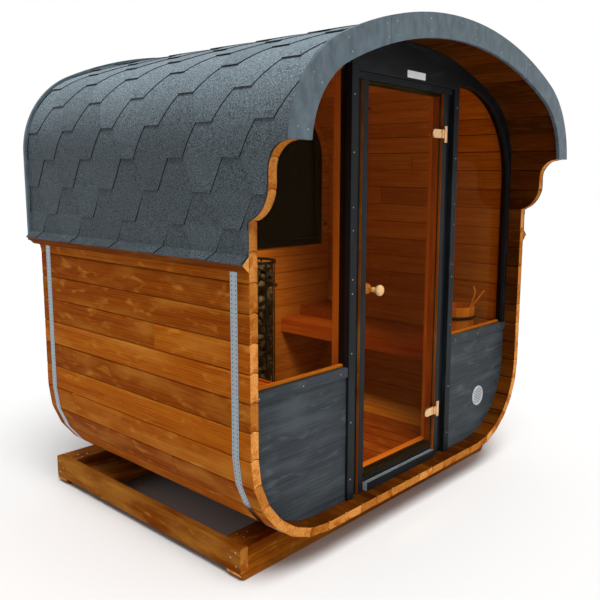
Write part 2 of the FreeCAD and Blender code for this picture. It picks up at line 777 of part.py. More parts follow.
# Back wall in four pieces round the window, and the window itself
def window_shape(inset, y, depth):
    half = window_half_width - inset
    low = window_bottom_z + inset
    high = window_top_z - inset
    radius = window_corner_radius - inset
    right = arc_between(half - radius, high - radius, radius, 0, math.pi / 2, y)
    left = arc_between(radius - half, high - radius, radius, math.pi / 2, math.pi, y)
    low_left = FreeCAD.Vector(-half, y, low)
    low_right = FreeCAD.Vector(half, y, low)
    edges = [Part.makeLine(low_left, low_right), Part.makeLine(low_right, right.Vertexes[0].Point), right,
             Part.makeLine(right.Vertexes[-1].Point, left.Vertexes[0].Point), left,
             Part.makeLine(left.Vertexes[-1].Point, low_left)]
    return Part.Face(Part.Wire(edges)).extrude(FreeCAD.Vector(0, depth, 0))


def build_back_wall():
    split_z = window_top_z - window_corner_radius
    hole = window_shape(0, back_wall_face, back_wall_thickness)
    lower = block(-half_width, half_width, back_wall_face, wall_back, base_top, window_bottom_z)
    save("back_wall_lower", lower.common(inner_space))
    side = block(window_half_width, inner_half, back_wall_face, wall_back, window_bottom_z, split_z)
    save("back_wall_sides", both_sides(side.common(inner_space)))
    top = block(-half_width, half_width, back_wall_face, wall_back, split_z, crown_top)
    save("back_wall_top", top.common(inner_space).cut(hole))

    frame_y = back_wall_face - window_frame_proud
    depth = back_wall_thickness + 2 * window_frame_proud
    frame = window_shape(0, frame_y, depth).cut(window_shape(window_frame_width, frame_y, depth))
    save("window_frame", frame)
    glass_y = back_wall_face + (back_wall_thickness - window_glass_thickness) / 2
    save("window_glass", window_shape(window_frame_width, glass_y, window_glass_thickness))


# Slatted floor on cross battens
def build_deck():
    start = post_back + inner_post_depth
    end = back_wall_face
    width = deck_boards * deck_board_width + (deck_boards - 1) * deck_board_gap
    board_z = floor_z + deck_batten_height
    pieces = []
    for i in range(deck_boards):
        x = -width / 2 + i * (deck_board_width + deck_board_gap)
        pieces.append(block(x, x + deck_board_width, start, end, board_z, deck_top_z))
    pitch = (end - start - deck_batten_width) / (deck_battens - 1)
    for i in range(deck_battens):
        y = start + i * pitch
        pieces.append(block(-width / 2, width / 2, y, y + deck_batten_width, floor_z, board_z))
    save("floor_deck", pieces[0].fuse(pieces[1:]).removeSplitter())


# Facing benches: slats on bearers, with a deep front apron
def build_benches():
    front_x = inner_half - bench_depth
    start = panel_back
    end = back_wall_face
    pieces = [block(front_x, front_x + bench_apron_thickness, start, end,
                    bench_top_z - bench_apron_height, bench_top_z)]
    slat_room = bench_depth - bench_apron_thickness - bench_slats * bench_slat_gap
    slat_width = slat_room / bench_slats
    slat_z = bench_top_z - bench_slat_thickness
    for i in range(bench_slats):
        x = front_x + bench_apron_thickness + bench_slat_gap + i * (slat_width + bench_slat_gap)
        pieces.append(block(x, x + slat_width, start, end, slat_z, bench_top_z))
    pitch = (end - start - bench_bearer_width) / (bench_bearers - 1)
    for i in range(bench_bearers):
        y = start + i * pitch
        pieces.append(block(front_x + bench_apron_thickness, inner_half, y, y + bench_bearer_width,
                            slat_z - bench_bearer_height, slat_z))
    bench = pieces[0].fuse(pieces[1:]).removeSplitter()
    save("bench_right", bench)
    save("bench_left", mirrored(bench))


# Sloping slatted headrest on the right bench, against the back wall
def build_headrest():
    x1 = inner_half
    x0 = x1 - headrest_width
    back = back_wall_face
    front = back - headrest_length
    rise = headrest_back_height - headrest_front_height
    slope = math.atan2(rise, headrest_length)
    outline = [(front, bench_top_z), (back, bench_top_z), (back, bench_top_z + headrest_back_height),
               (front, bench_top_z + headrest_front_height)]
    pieces = []
    for x in (x0, x1 - headrest_cheek):
        pieces.append(prism_along_x(outline, x, headrest_cheek))
    run = headrest_length / math.cos(slope) - headrest_slat_thickness * math.sin(slope)
    slat_width = (run - (headrest_slats - 1) * headrest_slat_gap) / headrest_slats
    for i in range(headrest_slats):
        along = i * (slat_width + headrest_slat_gap)
        slat = block(x0, x1, along, along + slat_width, 0, headrest_slat_thickness)
        slat.rotate(FreeCAD.Vector(0, 0, 0), FreeCAD.Vector(1, 0, 0), math.degrees(slope))
        slat.translate(FreeCAD.Vector(0, front, bench_top_z + headrest_front_height))
        pieces.append(slat.common(block(x0, x1, front - headrest_length, back, bench_top_z, crown_top)))
    save("headrest", pieces[0].fuse(pieces[1:]).removeSplitter())


# Stove cage: base drum, hoops and flat upright bars, with the stones inside as one pillar
def build_stove():
    centre = FreeCAD.Vector(0, wall_front + stove_y, deck_top_z)
    bar_height = stove_height - stove_base_height
    cage = Part.makeCylinder(stove_radius, stove_base_height)
    bars = []
    for i in range(stove_bars):
        bar = block(stove_radius - 2 * stove_bar_thickness, stove_radius - stove_bar_thickness,
                    -stove_bar_width / 2, stove_bar_width / 2, stove_base_height, stove_height)
        bar.rotate(FreeCAD.Vector(0, 0, 0), FreeCAD.Vector(0, 0, 1), 360 * (i + 0.5) / stove_bars)
        bars.append(bar)
    pitch = (bar_height - stove_ring_height) / (stove_rings - 1)
    for i in range(stove_rings):
        foot = FreeCAD.Vector(0, 0, stove_base_height + i * pitch)
        hoop = Part.makeCylinder(stove_radius, stove_ring_height, foot)
        bars.append(hoop.cut(Part.makeCylinder(stove_radius - stove_ring_thickness, stove_ring_height, foot)))
    cage = cage.fuse(bars).removeSplitter()
    cage.translate(centre)
    save("stove_cage", cage)
    stone_radius = stove_radius - 2 * stove_bar_thickness - stove_stone_gap
    foot = FreeCAD.Vector(0, 0, stove_base_height)
    stones = Part.makeCylinder(stone_radius, bar_height, foot)
    stones.translate(centre)
    save("stove_stones", stones)


# Wooden bucket of flat staves that widens upwards, with one raised hoop
def bucket_prism(inset, low, high):
    """A tapered prism with one face for each stave, set in from the bucket's outer faces."""
    rings = []
    for height in (low, high):
        radius = bucket_bottom_radius + (bucket_top_radius - bucket_bottom_radius) * height / bucket_height - inset
        corners = []
        for i in range(bucket_staves):
            angle = 2 * math.pi * (i + 0.5) / bucket_staves
            corners.append(FreeCAD.Vector(radius * math.cos(angle), radius * math.sin(angle), height))
        rings.append(corners)
    faces = [Part.Face(Part.makePolygon(corners + corners[:1])) for corners in rings]
    for i in range(bucket_staves):
        j = (i + 1) % bucket_staves
        side = [rings[0][i], rings[0][j], rings[1][j], rings[1][i], rings[0][i]]
        faces.append(Part.Face(Part.makePolygon(side)))
    return Part.Solid(Part.makeShell(faces))


def build_bucket():
    floor_high = bucket_floor_lift + bucket_floor_thickness
    hoop_top = bucket_height - hoop_drop
    bucket = bucket_prism(0, 0, bucket_height)
    bucket = bucket.fuse(bucket_prism(-hoop_thickness, hoop_top - hoop_height, hoop_top))
    bucket = bucket.cut(bucket_prism(bucket_wall, floor_high, bucket_height))
    bucket = bucket.cut(bucket_prism(bucket_wall, 0, bucket_floor_lift))
    bucket.translate(FreeCAD.Vector(bucket_x, wall_front + bucket_y, bench_top_z))
    save("bucket", bucket)


# Ladle that leans in the bucket: a small cup on a flat tapered handle, laid on the bucket's inner rim
def build_ladle():
    rise = math.radians(ladle_rise_angle)
    cup_z = bucket_floor_lift + bucket_floor_thickness + ladle_rest_gap
    cup_top = cup_z + ladle_bowl_depth
    rest = ladle_handle_thickness / 2 + ladle_rest_gap
    rim_radius = (bucket_top_radius - bucket_wall) * math.cos(math.pi / bucket_staves)
    rim_x = rim_radius - rest * math.sin(rise)
    rim_z = bucket_height + rest * math.cos(rise)
    foot_x = rim_x - (rim_z - cup_top) / math.tan(rise)
    centre_x = foot_x - ladle_bowl_radius + ladle_bowl_wall / 2
    cup = Part.makeCylinder(ladle_bowl_radius, ladle_bowl_depth, FreeCAD.Vector(centre_x, 0, cup_z))
    hollow = FreeCAD.Vector(centre_x, 0, cup_z + ladle_bowl_wall)
    cup = cup.cut(Part.makeCylinder(ladle_bowl_radius - ladle_bowl_wall, ladle_bowl_depth, hollow))
    half_wide = ladle_handle_wide / 2
    half_narrow = ladle_handle_narrow / 2
    half_thick = ladle_handle_thickness / 2
    outline = [(-ladle_bowl_wall, -half_wide), (ladle_handle_length, -half_narrow),
               (ladle_handle_length, half_narrow), (-ladle_bowl_wall, half_wide)]
    handle = prism_along_z(outline, -half_thick, ladle_handle_thickness)
    handle.rotate(FreeCAD.Vector(0, 0, 0), FreeCAD.Vector(0, 1, 0), -ladle_rise_angle)
    handle.translate(FreeCAD.Vector(foot_x, 0, cup_top))
    ladle = cup.fuse(handle).removeSplitter()
    ladle.rotate(FreeCAD.Vector(0, 0, 0), FreeCAD.Vector(0, 0, 1), ladle_turn_angle)
    ladle.translate(FreeCAD.Vector(bucket_x, wall_front + bucket_y, bench_top_z))
    save("ladle", ladle)


build_walls()
build_shoulders()
build_covering()
build_fascias()
build_bands()
build_base()
build_front_wall()
build_vent()
build_doorway()
build_threshold()
build_leaf()
build_knobs()
build_back_wall()
build_deck()
build_benches()
build_headrest()
build_stove()
build_bucket()
build_ladle()
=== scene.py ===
import functools
import math
import random

import bmesh
import bpy
from mathutils import Matrix, Vector


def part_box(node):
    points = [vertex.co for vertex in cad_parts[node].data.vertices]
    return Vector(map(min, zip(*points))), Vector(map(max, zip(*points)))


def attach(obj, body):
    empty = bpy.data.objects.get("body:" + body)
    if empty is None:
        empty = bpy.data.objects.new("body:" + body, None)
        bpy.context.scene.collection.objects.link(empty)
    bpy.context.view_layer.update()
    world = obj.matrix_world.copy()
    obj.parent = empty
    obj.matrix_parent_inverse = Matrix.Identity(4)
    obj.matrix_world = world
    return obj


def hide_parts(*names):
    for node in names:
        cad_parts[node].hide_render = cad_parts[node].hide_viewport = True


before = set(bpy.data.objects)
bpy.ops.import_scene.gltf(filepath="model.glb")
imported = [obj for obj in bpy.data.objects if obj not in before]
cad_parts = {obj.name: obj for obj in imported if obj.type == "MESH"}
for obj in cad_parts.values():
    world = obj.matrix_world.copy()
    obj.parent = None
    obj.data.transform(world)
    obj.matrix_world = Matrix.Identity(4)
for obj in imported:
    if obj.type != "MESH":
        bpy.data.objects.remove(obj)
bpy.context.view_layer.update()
chance = random.Random(11)
print("frame loaded")


# Helpers for colours, nodes and meshes. All lengths are in metres

def toLinear(code):
    channels = []
    for k in (0, 2, 4):
        c = int(code[k:k + 2], 16) / 255
        channels.append(c / 12.92 if c <= 0.04045 else ((c + 0.055) / 1.055) ** 2.4)
    return (*channels, 1.0)


def perMetre(*millimetres):
    scales = [1000 / size for size in millimetres]
    return scales if len(scales) > 1 else scales[0]


def addNode(tree, kind, inputs=(), out=0, **settings):
    # Inputs are values, sockets or hex colours, in order or by name
    node = tree.nodes.new("ShaderNode" + kind)
    for key, value in settings.items():
        setattr(node, key, value)
    for key, value in inputs.items() if isinstance(inputs, dict) else enumerate(inputs):
        if isinstance(value, bpy.types.NodeSocket):
            tree.links.new(value, node.inputs[key])
        else:
            node.inputs[key].default_value = toLinear(value) if isinstance(value, str) else value
    return node.outputs[out] if len(node.outputs) else None


def between(a, b, share):
    return a[0] + (b[0] - a[0]) * share, a[1] + (b[1] - a[1]) * share


def addThing(name, data):
    thing = bpy.data.objects.new(name, data)
    bpy.context.scene.collection.objects.link(thing)
    return thing


def moveOut(point, a, b, distance):
    # Moves a point square to the line from a to b, away from the cabin's inside
    length = math.dist(a, b)
    return point[0] + (b[1] - a[1]) / length * distance, point[1] + (a[0] - b[0]) / length * distance


def drawBoard():
    # Where a board is cut from the wood, and the board's own tone
    return [chance.uniform(*span) for span in ((0, 40), (0.02, 0.16), (0.02, 0.09))], chance.random()


def newShape():
    return {"points": [], "faces": [], "finish": [], "grain": [], "tone": []}


def addPoint(shape, point, grain, tone=0.5):
    shape["points"].append(tuple(point))
    shape["grain"].append(tuple(grain))
    shape["tone"].append(tone)
    return len(shape["points"]) - 1


def addFaces(shape, faces, finish=0, first=0, flip=False):
    for face in faces:
        corners = [first + corner for corner in face]
        shape["faces"].append(corners[::-1] if flip else corners)
        shape["finish"].append(finish)


def addStrip(shape, first, edgeFinish=0, flip=False, cap=True):
    # Joins fours of points: top and bottom of one edge, then of the other
    for p in range(first, len(shape["points"]) - 4, 4):
        addFaces(shape, [(0, 2, 6, 4)], 0, p, flip)
        addFaces(shape, [(1, 5, 7, 3), (0, 4, 5, 1), (2, 3, 7, 6)], edgeFinish, p, flip)
        if cap and p == first:
            addFaces(shape, [(0, 1, 3, 2)], edgeFinish, p, flip)


def joinRings(shape, rings, finish=0):
    for low, high in zip(rings, rings[1:]):
        sides = max(len(low), len(high))
        for k in range(sides if sides > 1 else 0):
            j = (k + 1) % sides
            if len(high) == 1:
                face = (low[k], low[j], high[0])
            elif len(low) == 1:
                face = (low[0], high[j], high[k])
            else:
                face = (low[k], low[j], high[j], high[k])
            addFaces(shape, [face], finish)


def joinBoard(shape, first, count, innerFinishes):
    # Joins the sections of a board, each with count pairs of an outer and an inner point
    for s, innerFinish in enumerate(innerFinishes):
        here = first + 2 * s * count
        there = here + 2 * count
        for k in range(0, 2 * count - 2, 2):
            addFaces(shape, [(here + k, here + k + 2, there + k + 2, there + k)])
            addFaces(shape, [(here + k + 1, there + k + 1, there + k + 3, here + k + 3)], innerFinish)
        for k in (0, 2 * count - 2):
            addFaces(shape, [(here + k, there + k, there + k + 1, here + k + 1)], flip=k > 0)


def storeGrain(mesh, grain, tone):
    place = mesh.attributes.new("grain", "FLOAT_VECTOR", "POINT")
    place.data.foreach_set("vector", [c for point in grain for c in point])
    mesh.attributes.new("tone", "FLOAT", "POINT").data.foreach_set("value", tone)


def register(name, mesh, smoothAngle, body, nodes):
    mesh.polygons.foreach_set("use_smooth", [True] * len(mesh.polygons))
    mesh.set_sharp_from_angle(angle=math.radians(smoothAngle))
    thing = addThing(name, mesh)
    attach(thing, body)
    if nodes:
        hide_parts(*nodes)
    return thing


def makePiece(name, shape, materials, smoothAngle, nodes=(), body="cabin"):
    mesh = bpy.data.meshes.new(name)
    mesh.from_pydata(shape["points"], [], shape["faces"])
    for material in materials:
        mesh.materials.append(material)
    mesh.polygons.foreach_set("material_index", shape["finish"])
    storeGrain(mesh, shape["grain"], shape["tone"])
    register(name, mesh, smoothAngle, body, nodes)


# Numbers of the shell

halfWidth = 1.105
staveThickness = 0.043
stavePitch = 0.117
bottomRadius = 0.460
shoulderRadius = 0.440
crownRadius = 1.980
baseTop = 0.150
crownTop = 2.417
wallFront = -0.7475
wallBack = 0.8725
staveFront = -0.9725
staveBack = 0.9525
panelBack = -0.6185
backWallFace = 0.8285
lowX = halfWidth - bottomRadius
lowZ = baseTop + bottomRadius
crownZ = crownTop - crownRadius
shoulderX = halfWidth - shoulderRadius
shoulderZ = crownZ + math.sqrt((crownRadius - shoulderRadius) ** 2 - shoulderX ** 2)
tangentAngle = math.atan2(shoulderZ - crownZ, shoulderX)
sideTravel = shoulderZ - lowZ
shoulderTravel = shoulderRadius * tangentAngle
halfTravel = sideTravel + shoulderTravel + crownRadius * (math.pi / 2 - tangentAngle)


def shellPoint(travel):
    # From the right wall's foot over the crown to the left wall's
    if travel > halfTravel:
        x, z = shellPoint(2 * halfTravel - travel)
        return -x, z
    if travel <= sideTravel:
        return halfWidth, lowZ + travel
    if travel <= sideTravel + shoulderTravel:
        angle = (travel - sideTravel) / shoulderRadius
        return shoulderX + shoulderRadius * math.cos(angle), shoulderZ + shoulderRadius * math.sin(angle)
    angle = tangentAngle + (travel - sideTravel - shoulderTravel) / crownRadius
    return crownRadius * math.cos(angle), crownZ + crownRadius * math.sin(angle)


floorStaves = round(2 * lowX / stavePitch)
cornerStaves = round(bottomRadius * math.pi / 2 / stavePitch)
upperStaves = 2 * round(halfTravel / stavePitch)
cornerTurns = [-math.pi / 2 * i / cornerStaves for i in range(cornerStaves + 1)]
outerJoints = [(-lowX + 2 * lowX * i / floorStaves, baseTop) for i in range(floorStaves)]
outerJoints += [(lowX + bottomRadius * math.cos(turn), lowZ + bottomRadius * math.sin(turn))
                for turn in cornerTurns[:0:-1]]
outerJoints += [shellPoint(2 * halfTravel * i / upperStaves) for i in range(upperStaves)]
outerJoints += [(-lowX - bottomRadius * math.cos(turn), lowZ + bottomRadius * math.sin(turn))
                for turn in cornerTurns[:-1]]
jointCount = len(outerJoints)


def insetJoints(points, distance):
    moved = []
    for i, here in enumerate(points):
        before, after = points[i - 1], points[(i + 1) % len(points)]
        nx = nz = 0.0
        for a, b in ((before, here), (here, after)):
            nx, nz = moveOut((nx, nz), a, b, -0.5)
        scale = distance / (nx * nx + nz * nz)
        moved.append((here[0] + nx * scale, here[1] + nz * scale))
    return moved


innerJoints = insetJoints(outerJoints, staveThickness)
wallStart = floorStaves + cornerStaves
wallEnd = wallStart + upperStaves
topJoint = wallStart + upperStaves // 2
crownStaves = 8  # on each side of the crown's middle
eaveJoint = topJoint - 2 * crownStaves
eaveZ = outerJoints[eaveJoint][1]
ogeeZ = outerJoints[eaveJoint + 2][1]
battenZ = eaveZ + 0.041

# The ogee in front: a bulge, a short straight and a hollow that ends under the fascia
bulgeRadius = 0.150
bulgeInset = 0.042
bulgeY = wallFront + bulgeInset
bulgeZ = ogeeZ + math.sqrt(bulgeRadius ** 2 - bulgeInset ** 2)
waistHeight = 0.045
hollowRadius = 0.107
hollowY = bulgeY - bulgeRadius - hollowRadius
hollowZ = bulgeZ + waistHeight
ogeeTopZ = hollowZ + hollowRadius
rearHollow = 0.060


def frontAt(z):
    if z <= ogeeZ:
        return wallFront
    if z < bulgeZ:
        return bulgeY - math.sqrt(max(bulgeRadius ** 2 - (z - bulgeZ) ** 2, 0))
    if z <= hollowZ:
        return bulgeY - bulgeRadius
    if z < ogeeTopZ:
        return hollowY + math.sqrt(max(hollowRadius ** 2 - (z - hollowZ) ** 2, 0))
    return staveFront


def rearAt(z):
    if z <= eaveZ:
        return wallBack
    if z < eaveZ + rearHollow:
        return wallBack + rearHollow - math.sqrt(rearHollow ** 2 - (z - eaveZ) ** 2)
    return staveBack


# Materials. The scale of a pattern comes from its real size in millimetres

smooth = {"interpolation_type": "SMOOTHSTEP"}
plain = {"data_type": "RGBA"}
multiply = {"data_type": "RGBA", "blend_type": "MULTIPLY"}
growthRings = {"wave_type": "RINGS", "rings_direction": "X", "wave_profile": "SAW"}
waveGap = 314  # mm between the rings of a wave texture at scale 1


def startMaterial(name):
    material = bpy.data.materials.new(name)
    material.use_nodes = True
    material.node_tree.nodes.clear()
    return material, functools.partial(addNode, material.node_tree)


def fade(node, pattern, span, start, end, **mode):
    # Goes from one colour to the other where the pattern rises through the span
    share = node("MapRange", [pattern, *span], **smooth)
    return node("Mix", {0: share, 6: start, 7: end}, 2, **(mode or plain))


def startBoard(name, dark, light):
    # The place in the board's own coordinates, and a colour drawn for each board
    material, node = startMaterial(name)
    place = node("Attribute", out="Vector", attribute_name="grain")
    tone = node("Attribute", out="Fac", attribute_name="tone")
    return material, node, place, fade(node, tone, (0.0, 1.0), dark, light)


def endMaterial(node, colour, rough, shine, relief, strength, depth):
    bump = node("Bump", {"Height": relief, "Strength": strength, "Distance": depth})
    surface = node("BsdfPrincipled", {"Base Color": colour, "Roughness": rough, "Specular IOR Level": shine,
                                      "Normal": bump})
    node("OutputMaterial", [surface])


def woodMaterial(name, boards, **changes):
    # Sawn or planed board: fibre streaks, slow rings, knots and pale patches that are partly wear and
    # partly painted sheen, hardly any shine
    wood = {"shine": 0.015, "seamPitch": 0, **boards, **changes}
    material, node, place, colour = startBoard(name, wood["dark"], wood["light"])
    noises = []
    for length, width, detail, rough, bend in ((450, 13, 5, 0.62, 0), (380, 110, 3, 0.5, 0),
                                               (125, 42, 2, 0.5, 0.4)):
        drawn = node("Mapping", {"Vector": place, "Scale": perMetre(length, width, width)})
        noises.append(node("TexNoise", {"Vector": drawn, "Scale": 1.0, "Detail": detail, "Roughness": rough,
                                        "Distortion": bend}))
    streaks, zones, marks = noises
    ringPlace = node("Mapping", {"Vector": place, "Scale": (0.25, 1, 1)})
    rings = node("TexWave", {"Vector": ringPlace, "Scale": waveGap / wood["ringGap"], "Distortion": 3.5,
                             "Detail": 2.0, "Detail Scale": 1.4}, "Fac", **growthRings)
    colour = node("Mix", {0: rings, 6: colour, 7: wood["ring"]}, 2, **multiply)
    colour = fade(node, streaks, (0.3, 0.7, 1.0, 0.0), colour, wood["streak"], **multiply)
    # Pale patches: partly real wear, partly painted sheen in place of the glints on the boards
    zoneShare = node("MapRange", [zones, wood["wornFrom"] - 0.08, wood["wornFrom"] + 0.26], **smooth)
    zoneScuffAndSheen = node("Math", [zoneShare, wood["wornShare"] * 0.75], operation="MULTIPLY")
    markShare = node("MapRange", [marks, 0.52, 0.82], **smooth)
    markScuffAndSheen = node("Math", [markShare, wood["wornShare"]], operation="MULTIPLY")
    scuffAndSheenMask = node("Math", [zoneScuffAndSheen, markScuffAndSheen], operation="MAXIMUM")
    colour = node("Mix", {0: scuffAndSheenMask, 6: colour, 7: wood["worn"]}, 2, **plain)
    knotPlace = node("Mapping", {"Vector": place, "Scale": perMetre(310, 185, 450)})
    knots = node("TexVoronoi", {"Vector": knotPlace, "Scale": 1.0})
    knotCore = node("MapRange", [knots, 0.055, 0.10, 1.0, 0.0])
    lot = node("SeparateColor", [knots.node.outputs["Color"]])
    present = node("Math", [lot, wood["knots"]], operation="LESS_THAN")
    knotMask = node("Math", [knotCore, present], operation="MULTIPLY")
    colour = node("Mix", {0: knotMask, 6: colour, 7: wood["knot"]}, 2, **plain)
    if wood["seamPitch"]:
        height = node("SeparateXYZ", [node("TexCoord", out="Object")], 2)
        toSeam = node("Math", [height, wood["seamPitch"] / 2], operation="PINGPONG")
        seam = node("MapRange", [toSeam, 0.0008, 0.0024, 1.0, 0.0])
        colour = node("Mix", {0: seam, 6: colour, 7: wood["knot"]}, 2, **plain)
    rough = node("MapRange", [streaks, 0.0, 1.0, wood["rough"] - 0.08, wood["rough"] + 0.12])
    endMaterial(node, colour, rough=rough, shine=wood["shine"], relief=streaks, strength=wood["relief"],
                depth=0.0012)
    return material


def endGrainMaterial(name, dark, light, ring, streak, stain):
    # Sawn end of a board: close rings seen straight on, stained patches, lighter than the face as painted
    # light on the brightly lit ends
    material, node, place, colour = startBoard(name, dark, light)
    flat = node("Mapping", {"Vector": place, "Scale": (0.02, 1, 1)})
    rings = node("TexWave", {"Vector": flat, "Scale": waveGap / 5.5, "Distortion": 1.5, "Detail": 1.0},
                 "Fac", **growthRings)
    fine = node("TexNoise", {"Vector": flat, "Scale": perMetre(6), "Detail": 4.0})
    stains = node("TexNoise", {"Vector": place, "Scale": perMetre(60), "Detail": 3.0})
    colour = node("Mix", {0: rings, 6: colour, 7: ring}, 2, **multiply)
    colour = fade(node, fine, (0.3, 0.75, 1.0, 0.0), colour, streak, **multiply)
    colour = fade(node, stains, (0.46, 0.66), colour, stain, **multiply)
    endMaterial(node, colour, rough=0.75, shine=0.02, relief=fine, strength=0.4, depth=0.001)
    return material


def feltMaterial(name, dark, light, cloud):
    # Bitumen shingle with slate granules: speckled grey, lighter towards the crown as painted sky light, no
    # shine
    material, node, place, colour = startBoard(name, dark, light)
    # Granules of 1 mm are drawn at 2.2 mm, and their clusters at 5.5 mm, so that they show
    granules = node("TexVoronoi", {"Vector": place, "Scale": perMetre(2.2)})
    grey = node("SeparateColor", [granules.node.outputs["Color"]])
    clusters = node("TexNoise", {"Vector": place, "Scale": perMetre(5.5), "Detail": 1.0})
    clouds = node("TexNoise", {"Vector": place, "Scale": perMetre(42), "Detail": 5.0, "Roughness": 0.7})
    colour = fade(node, clouds, (0.3, 0.7, 1.0, 0.0), colour, cloud, **multiply)
    loose = node("MapRange", [clusters, 0.34, 0.66, -0.55, 0.55])
    fine = node("MapRange", [grey, 0.0, 1.0, 0.5, 1.5])
    speckle = node("Math", [fine, loose], operation="ADD")
    # Colour brightens with height between 1.80 and 2.26 m: painted sky light on the upper roof
    height = node("SeparateXYZ", [node("TexCoord", out="Object")], 2)
    paintedSkyLight = node("MapRange", [height, 1.80, 2.26, 0.78, 2.6], **smooth)
    level = node("Math", [speckle, paintedSkyLight], operation="MULTIPLY")
    colour = node("VectorMath", {0: colour, "Scale": level}, operation="SCALE")
    endMaterial(node, colour, rough=0.82, shine=0.3, relief=grey, strength=0.5, depth=0.0012)
    return material


def paintMaterial(name, dark, light, rough, streak):
    # Opaque paint or enamel: even colour with drawn-out streaks and slight relief
    material, node = startMaterial(name)
    drawn = node("Mapping", {"Vector": node("TexCoord", out="Object"), "Scale": perMetre(*streak)})
    streaks = node("TexNoise", {"Vector": drawn, "Scale": 1.0, "Detail": 6.0, "Roughness": 0.6})
    colour = fade(node, streaks, (0.32, 0.70), dark, light)
    endMaterial(node, colour, rough=rough, shine=0.25, relief=streaks, strength=0.25, depth=0.0006)
    return material


def strapMaterial(name):
    # Rolled stainless strap, punched with rows of small round holes: a near mirror with dark dots, the wood
    # in each hole painted in shade
    holePitch, rowOffset, holeRadius, softEdge = 0.018, 0.0115, 0.0024, 0.0005
    material, node = startMaterial(name)
    place = node("Attribute", out="Vector", attribute_name="grain")
    along = node("SeparateXYZ", [place])
    alongHole = node("Math", [along, holePitch / 2], operation="PINGPONG")
    side = node("Math", [along.node.outputs[1]], operation="ABSOLUTE")
    row = node("Math", [side, rowOffset], operation="SUBTRACT")
    reach = node("VectorMath", [node("CombineXYZ", [alongHole, row])], "Value", operation="LENGTH")
    hole = node("MapRange", [reach, holeRadius, holeRadius + softEdge, 1.0, 0.0])
    scuff = node("TexNoise", {"Vector": place, "Scale": perMetre(33), "Detail": 4.0})
    rough = node("MapRange", [scuff, 0.0, 1.0, 0.07, 0.24])
    wave = node("TexNoise", {"Vector": place, "Scale": perMetre(110), "Detail": 1.0})
    bump = node("Bump", {"Height": wave, "Strength": 0.25, "Distance": 0.004})
    steel = node("BsdfPrincipled", {"Base Color": "8E989E", "Metallic": 1.0, "Roughness": rough,
                                    "Normal": bump})
    # The holes show dark brown: the wood under the strap, darkened as painted shade
    dark = node("BsdfPrincipled", {"Base Color": "2A1A0C", "Roughness": 0.9})
    node("OutputMaterial", [node("MixShader", [hole, steel, dark])])
    return material


def metalMaterial(name, dark, light, metallic, rough):
    # Cast, turned or rolled metal with fine wear that breaks up its shine
    material, node = startMaterial(name)
    place = node("TexCoord", out="Object")
    scuffAndSheenMask = node("TexNoise", {"Vector": place, "Scale": perMetre(11), "Detail": 4.0})
    colour = fade(node, scuffAndSheenMask, (0.35, 0.65), dark, light)
    worn = node("MapRange", [scuffAndSheenMask, 0.0, 1.0, rough - 0.07, rough + 0.08])
    node("OutputMaterial", [node("BsdfPrincipled", {"Base Color": colour, "Metallic": metallic,
                                                    "Roughness": worn})])
    return material


def glassMaterial(name, faceTint, glint, mirror):
    # Body-tinted float glass: light passes straight on, the outer side mirrors weakly, more at a low angle
    material, node = startMaterial(name)
    shadowRay = node("LightPath", out="Is Shadow Ray")
    lightRay = node("Math", [shadowRay, shadowRay.node.outputs["Is Diffuse Ray"]], operation="MAXIMUM")
    closed = node("Math", [lightRay, node("NewGeometry", out="Backfacing")], operation="MAXIMUM")
    steep = node("Math", [node("LayerWeight", {"Blend": 0.5}, "Facing"), 5.0], operation="POWER")
    mirrored = node("MapRange", [steep, 0.0, 1.0, mirror, 0.35])
    share = node("MapRange", [closed, 0.0, 1.0, mirrored, 0.0])
    through = node("BsdfTransparent", [faceTint])
    surface = node("BsdfPrincipled", {"Base Color": glint, "Roughness": 0.02, "Metallic": 1.0})
    node("OutputMaterial", [node("MixShader", [share, through, surface])])
    return material


def stoneMaterial(name, dark, light, fleck):
    # Broken dark olivine, dull with light mineral flecks
    material, node, place, colour = startBoard(name, dark, light)
    flecks = node("TexNoise", {"Vector": place, "Scale": perMetre(17), "Detail": 6.0})
    colour = fade(node, flecks, (0.55, 0.75), colour, fleck)
    endMaterial(node, colour, rough=0.85, shine=0.5, relief=flecks, strength=0.6, depth=0.003)
    return material


# Woods: ringGap is the mm between growth rings, and the From and Share keys of the pale patches say where
# and how far it pales; those patches are partly wear and partly painted sheen
oiled = {"dark": "8E4A08", "light": "B06614", "ring": "E6C69E", "streak": "DCBE94", "worn": "CE8A34",
         "knot": "3A1B08", "wornFrom": 0.50, "wornShare": 0.55, "knots": 0.4, "ringGap": 10.5,
         "relief": 0.35, "rough": 0.58}
bare = {"dark": "C08C38", "light": "D8AA5A", "ring": "EACBA0", "streak": "E6C9A0", "worn": "E0A45C",
        "knot": "5A2A0C", "wornFrom": 0.58, "wornShare": 0.45, "knots": 0.5, "ringGap": 10.5,
        "relief": 0.25, "rough": 0.62}
timber = {"dark": "824808", "light": "A46216", "ring": "E2C096", "streak": "D4B284", "worn": "CC8E3A",
          "knot": "34190A", "wornFrom": 0.48, "wornShare": 0.6, "knots": 0.5, "ringGap": 13, "relief": 0.45,
          "rough": 0.66}
batten = {"dark": "5E3008", "light": "7A4210", "ring": "DDB88C", "streak": "C8A274", "worn": "96591E",
          "knot": "23110A", "wornFrom": 0.56, "wornShare": 0.4, "knots": 0.3, "ringGap": 10.5,
          "relief": 0.4, "rough": 0.65}
stained = {"dark": "383D41", "light": "41464A", "ring": "DCDFE2", "streak": "C2C6CA", "worn": "5C6468",
           "knot": "17181A", "wornFrom": 0.52, "wornShare": 0.5, "knots": 0.2, "ringGap": 12, "relief": 0.4,
           "rough": 0.6}
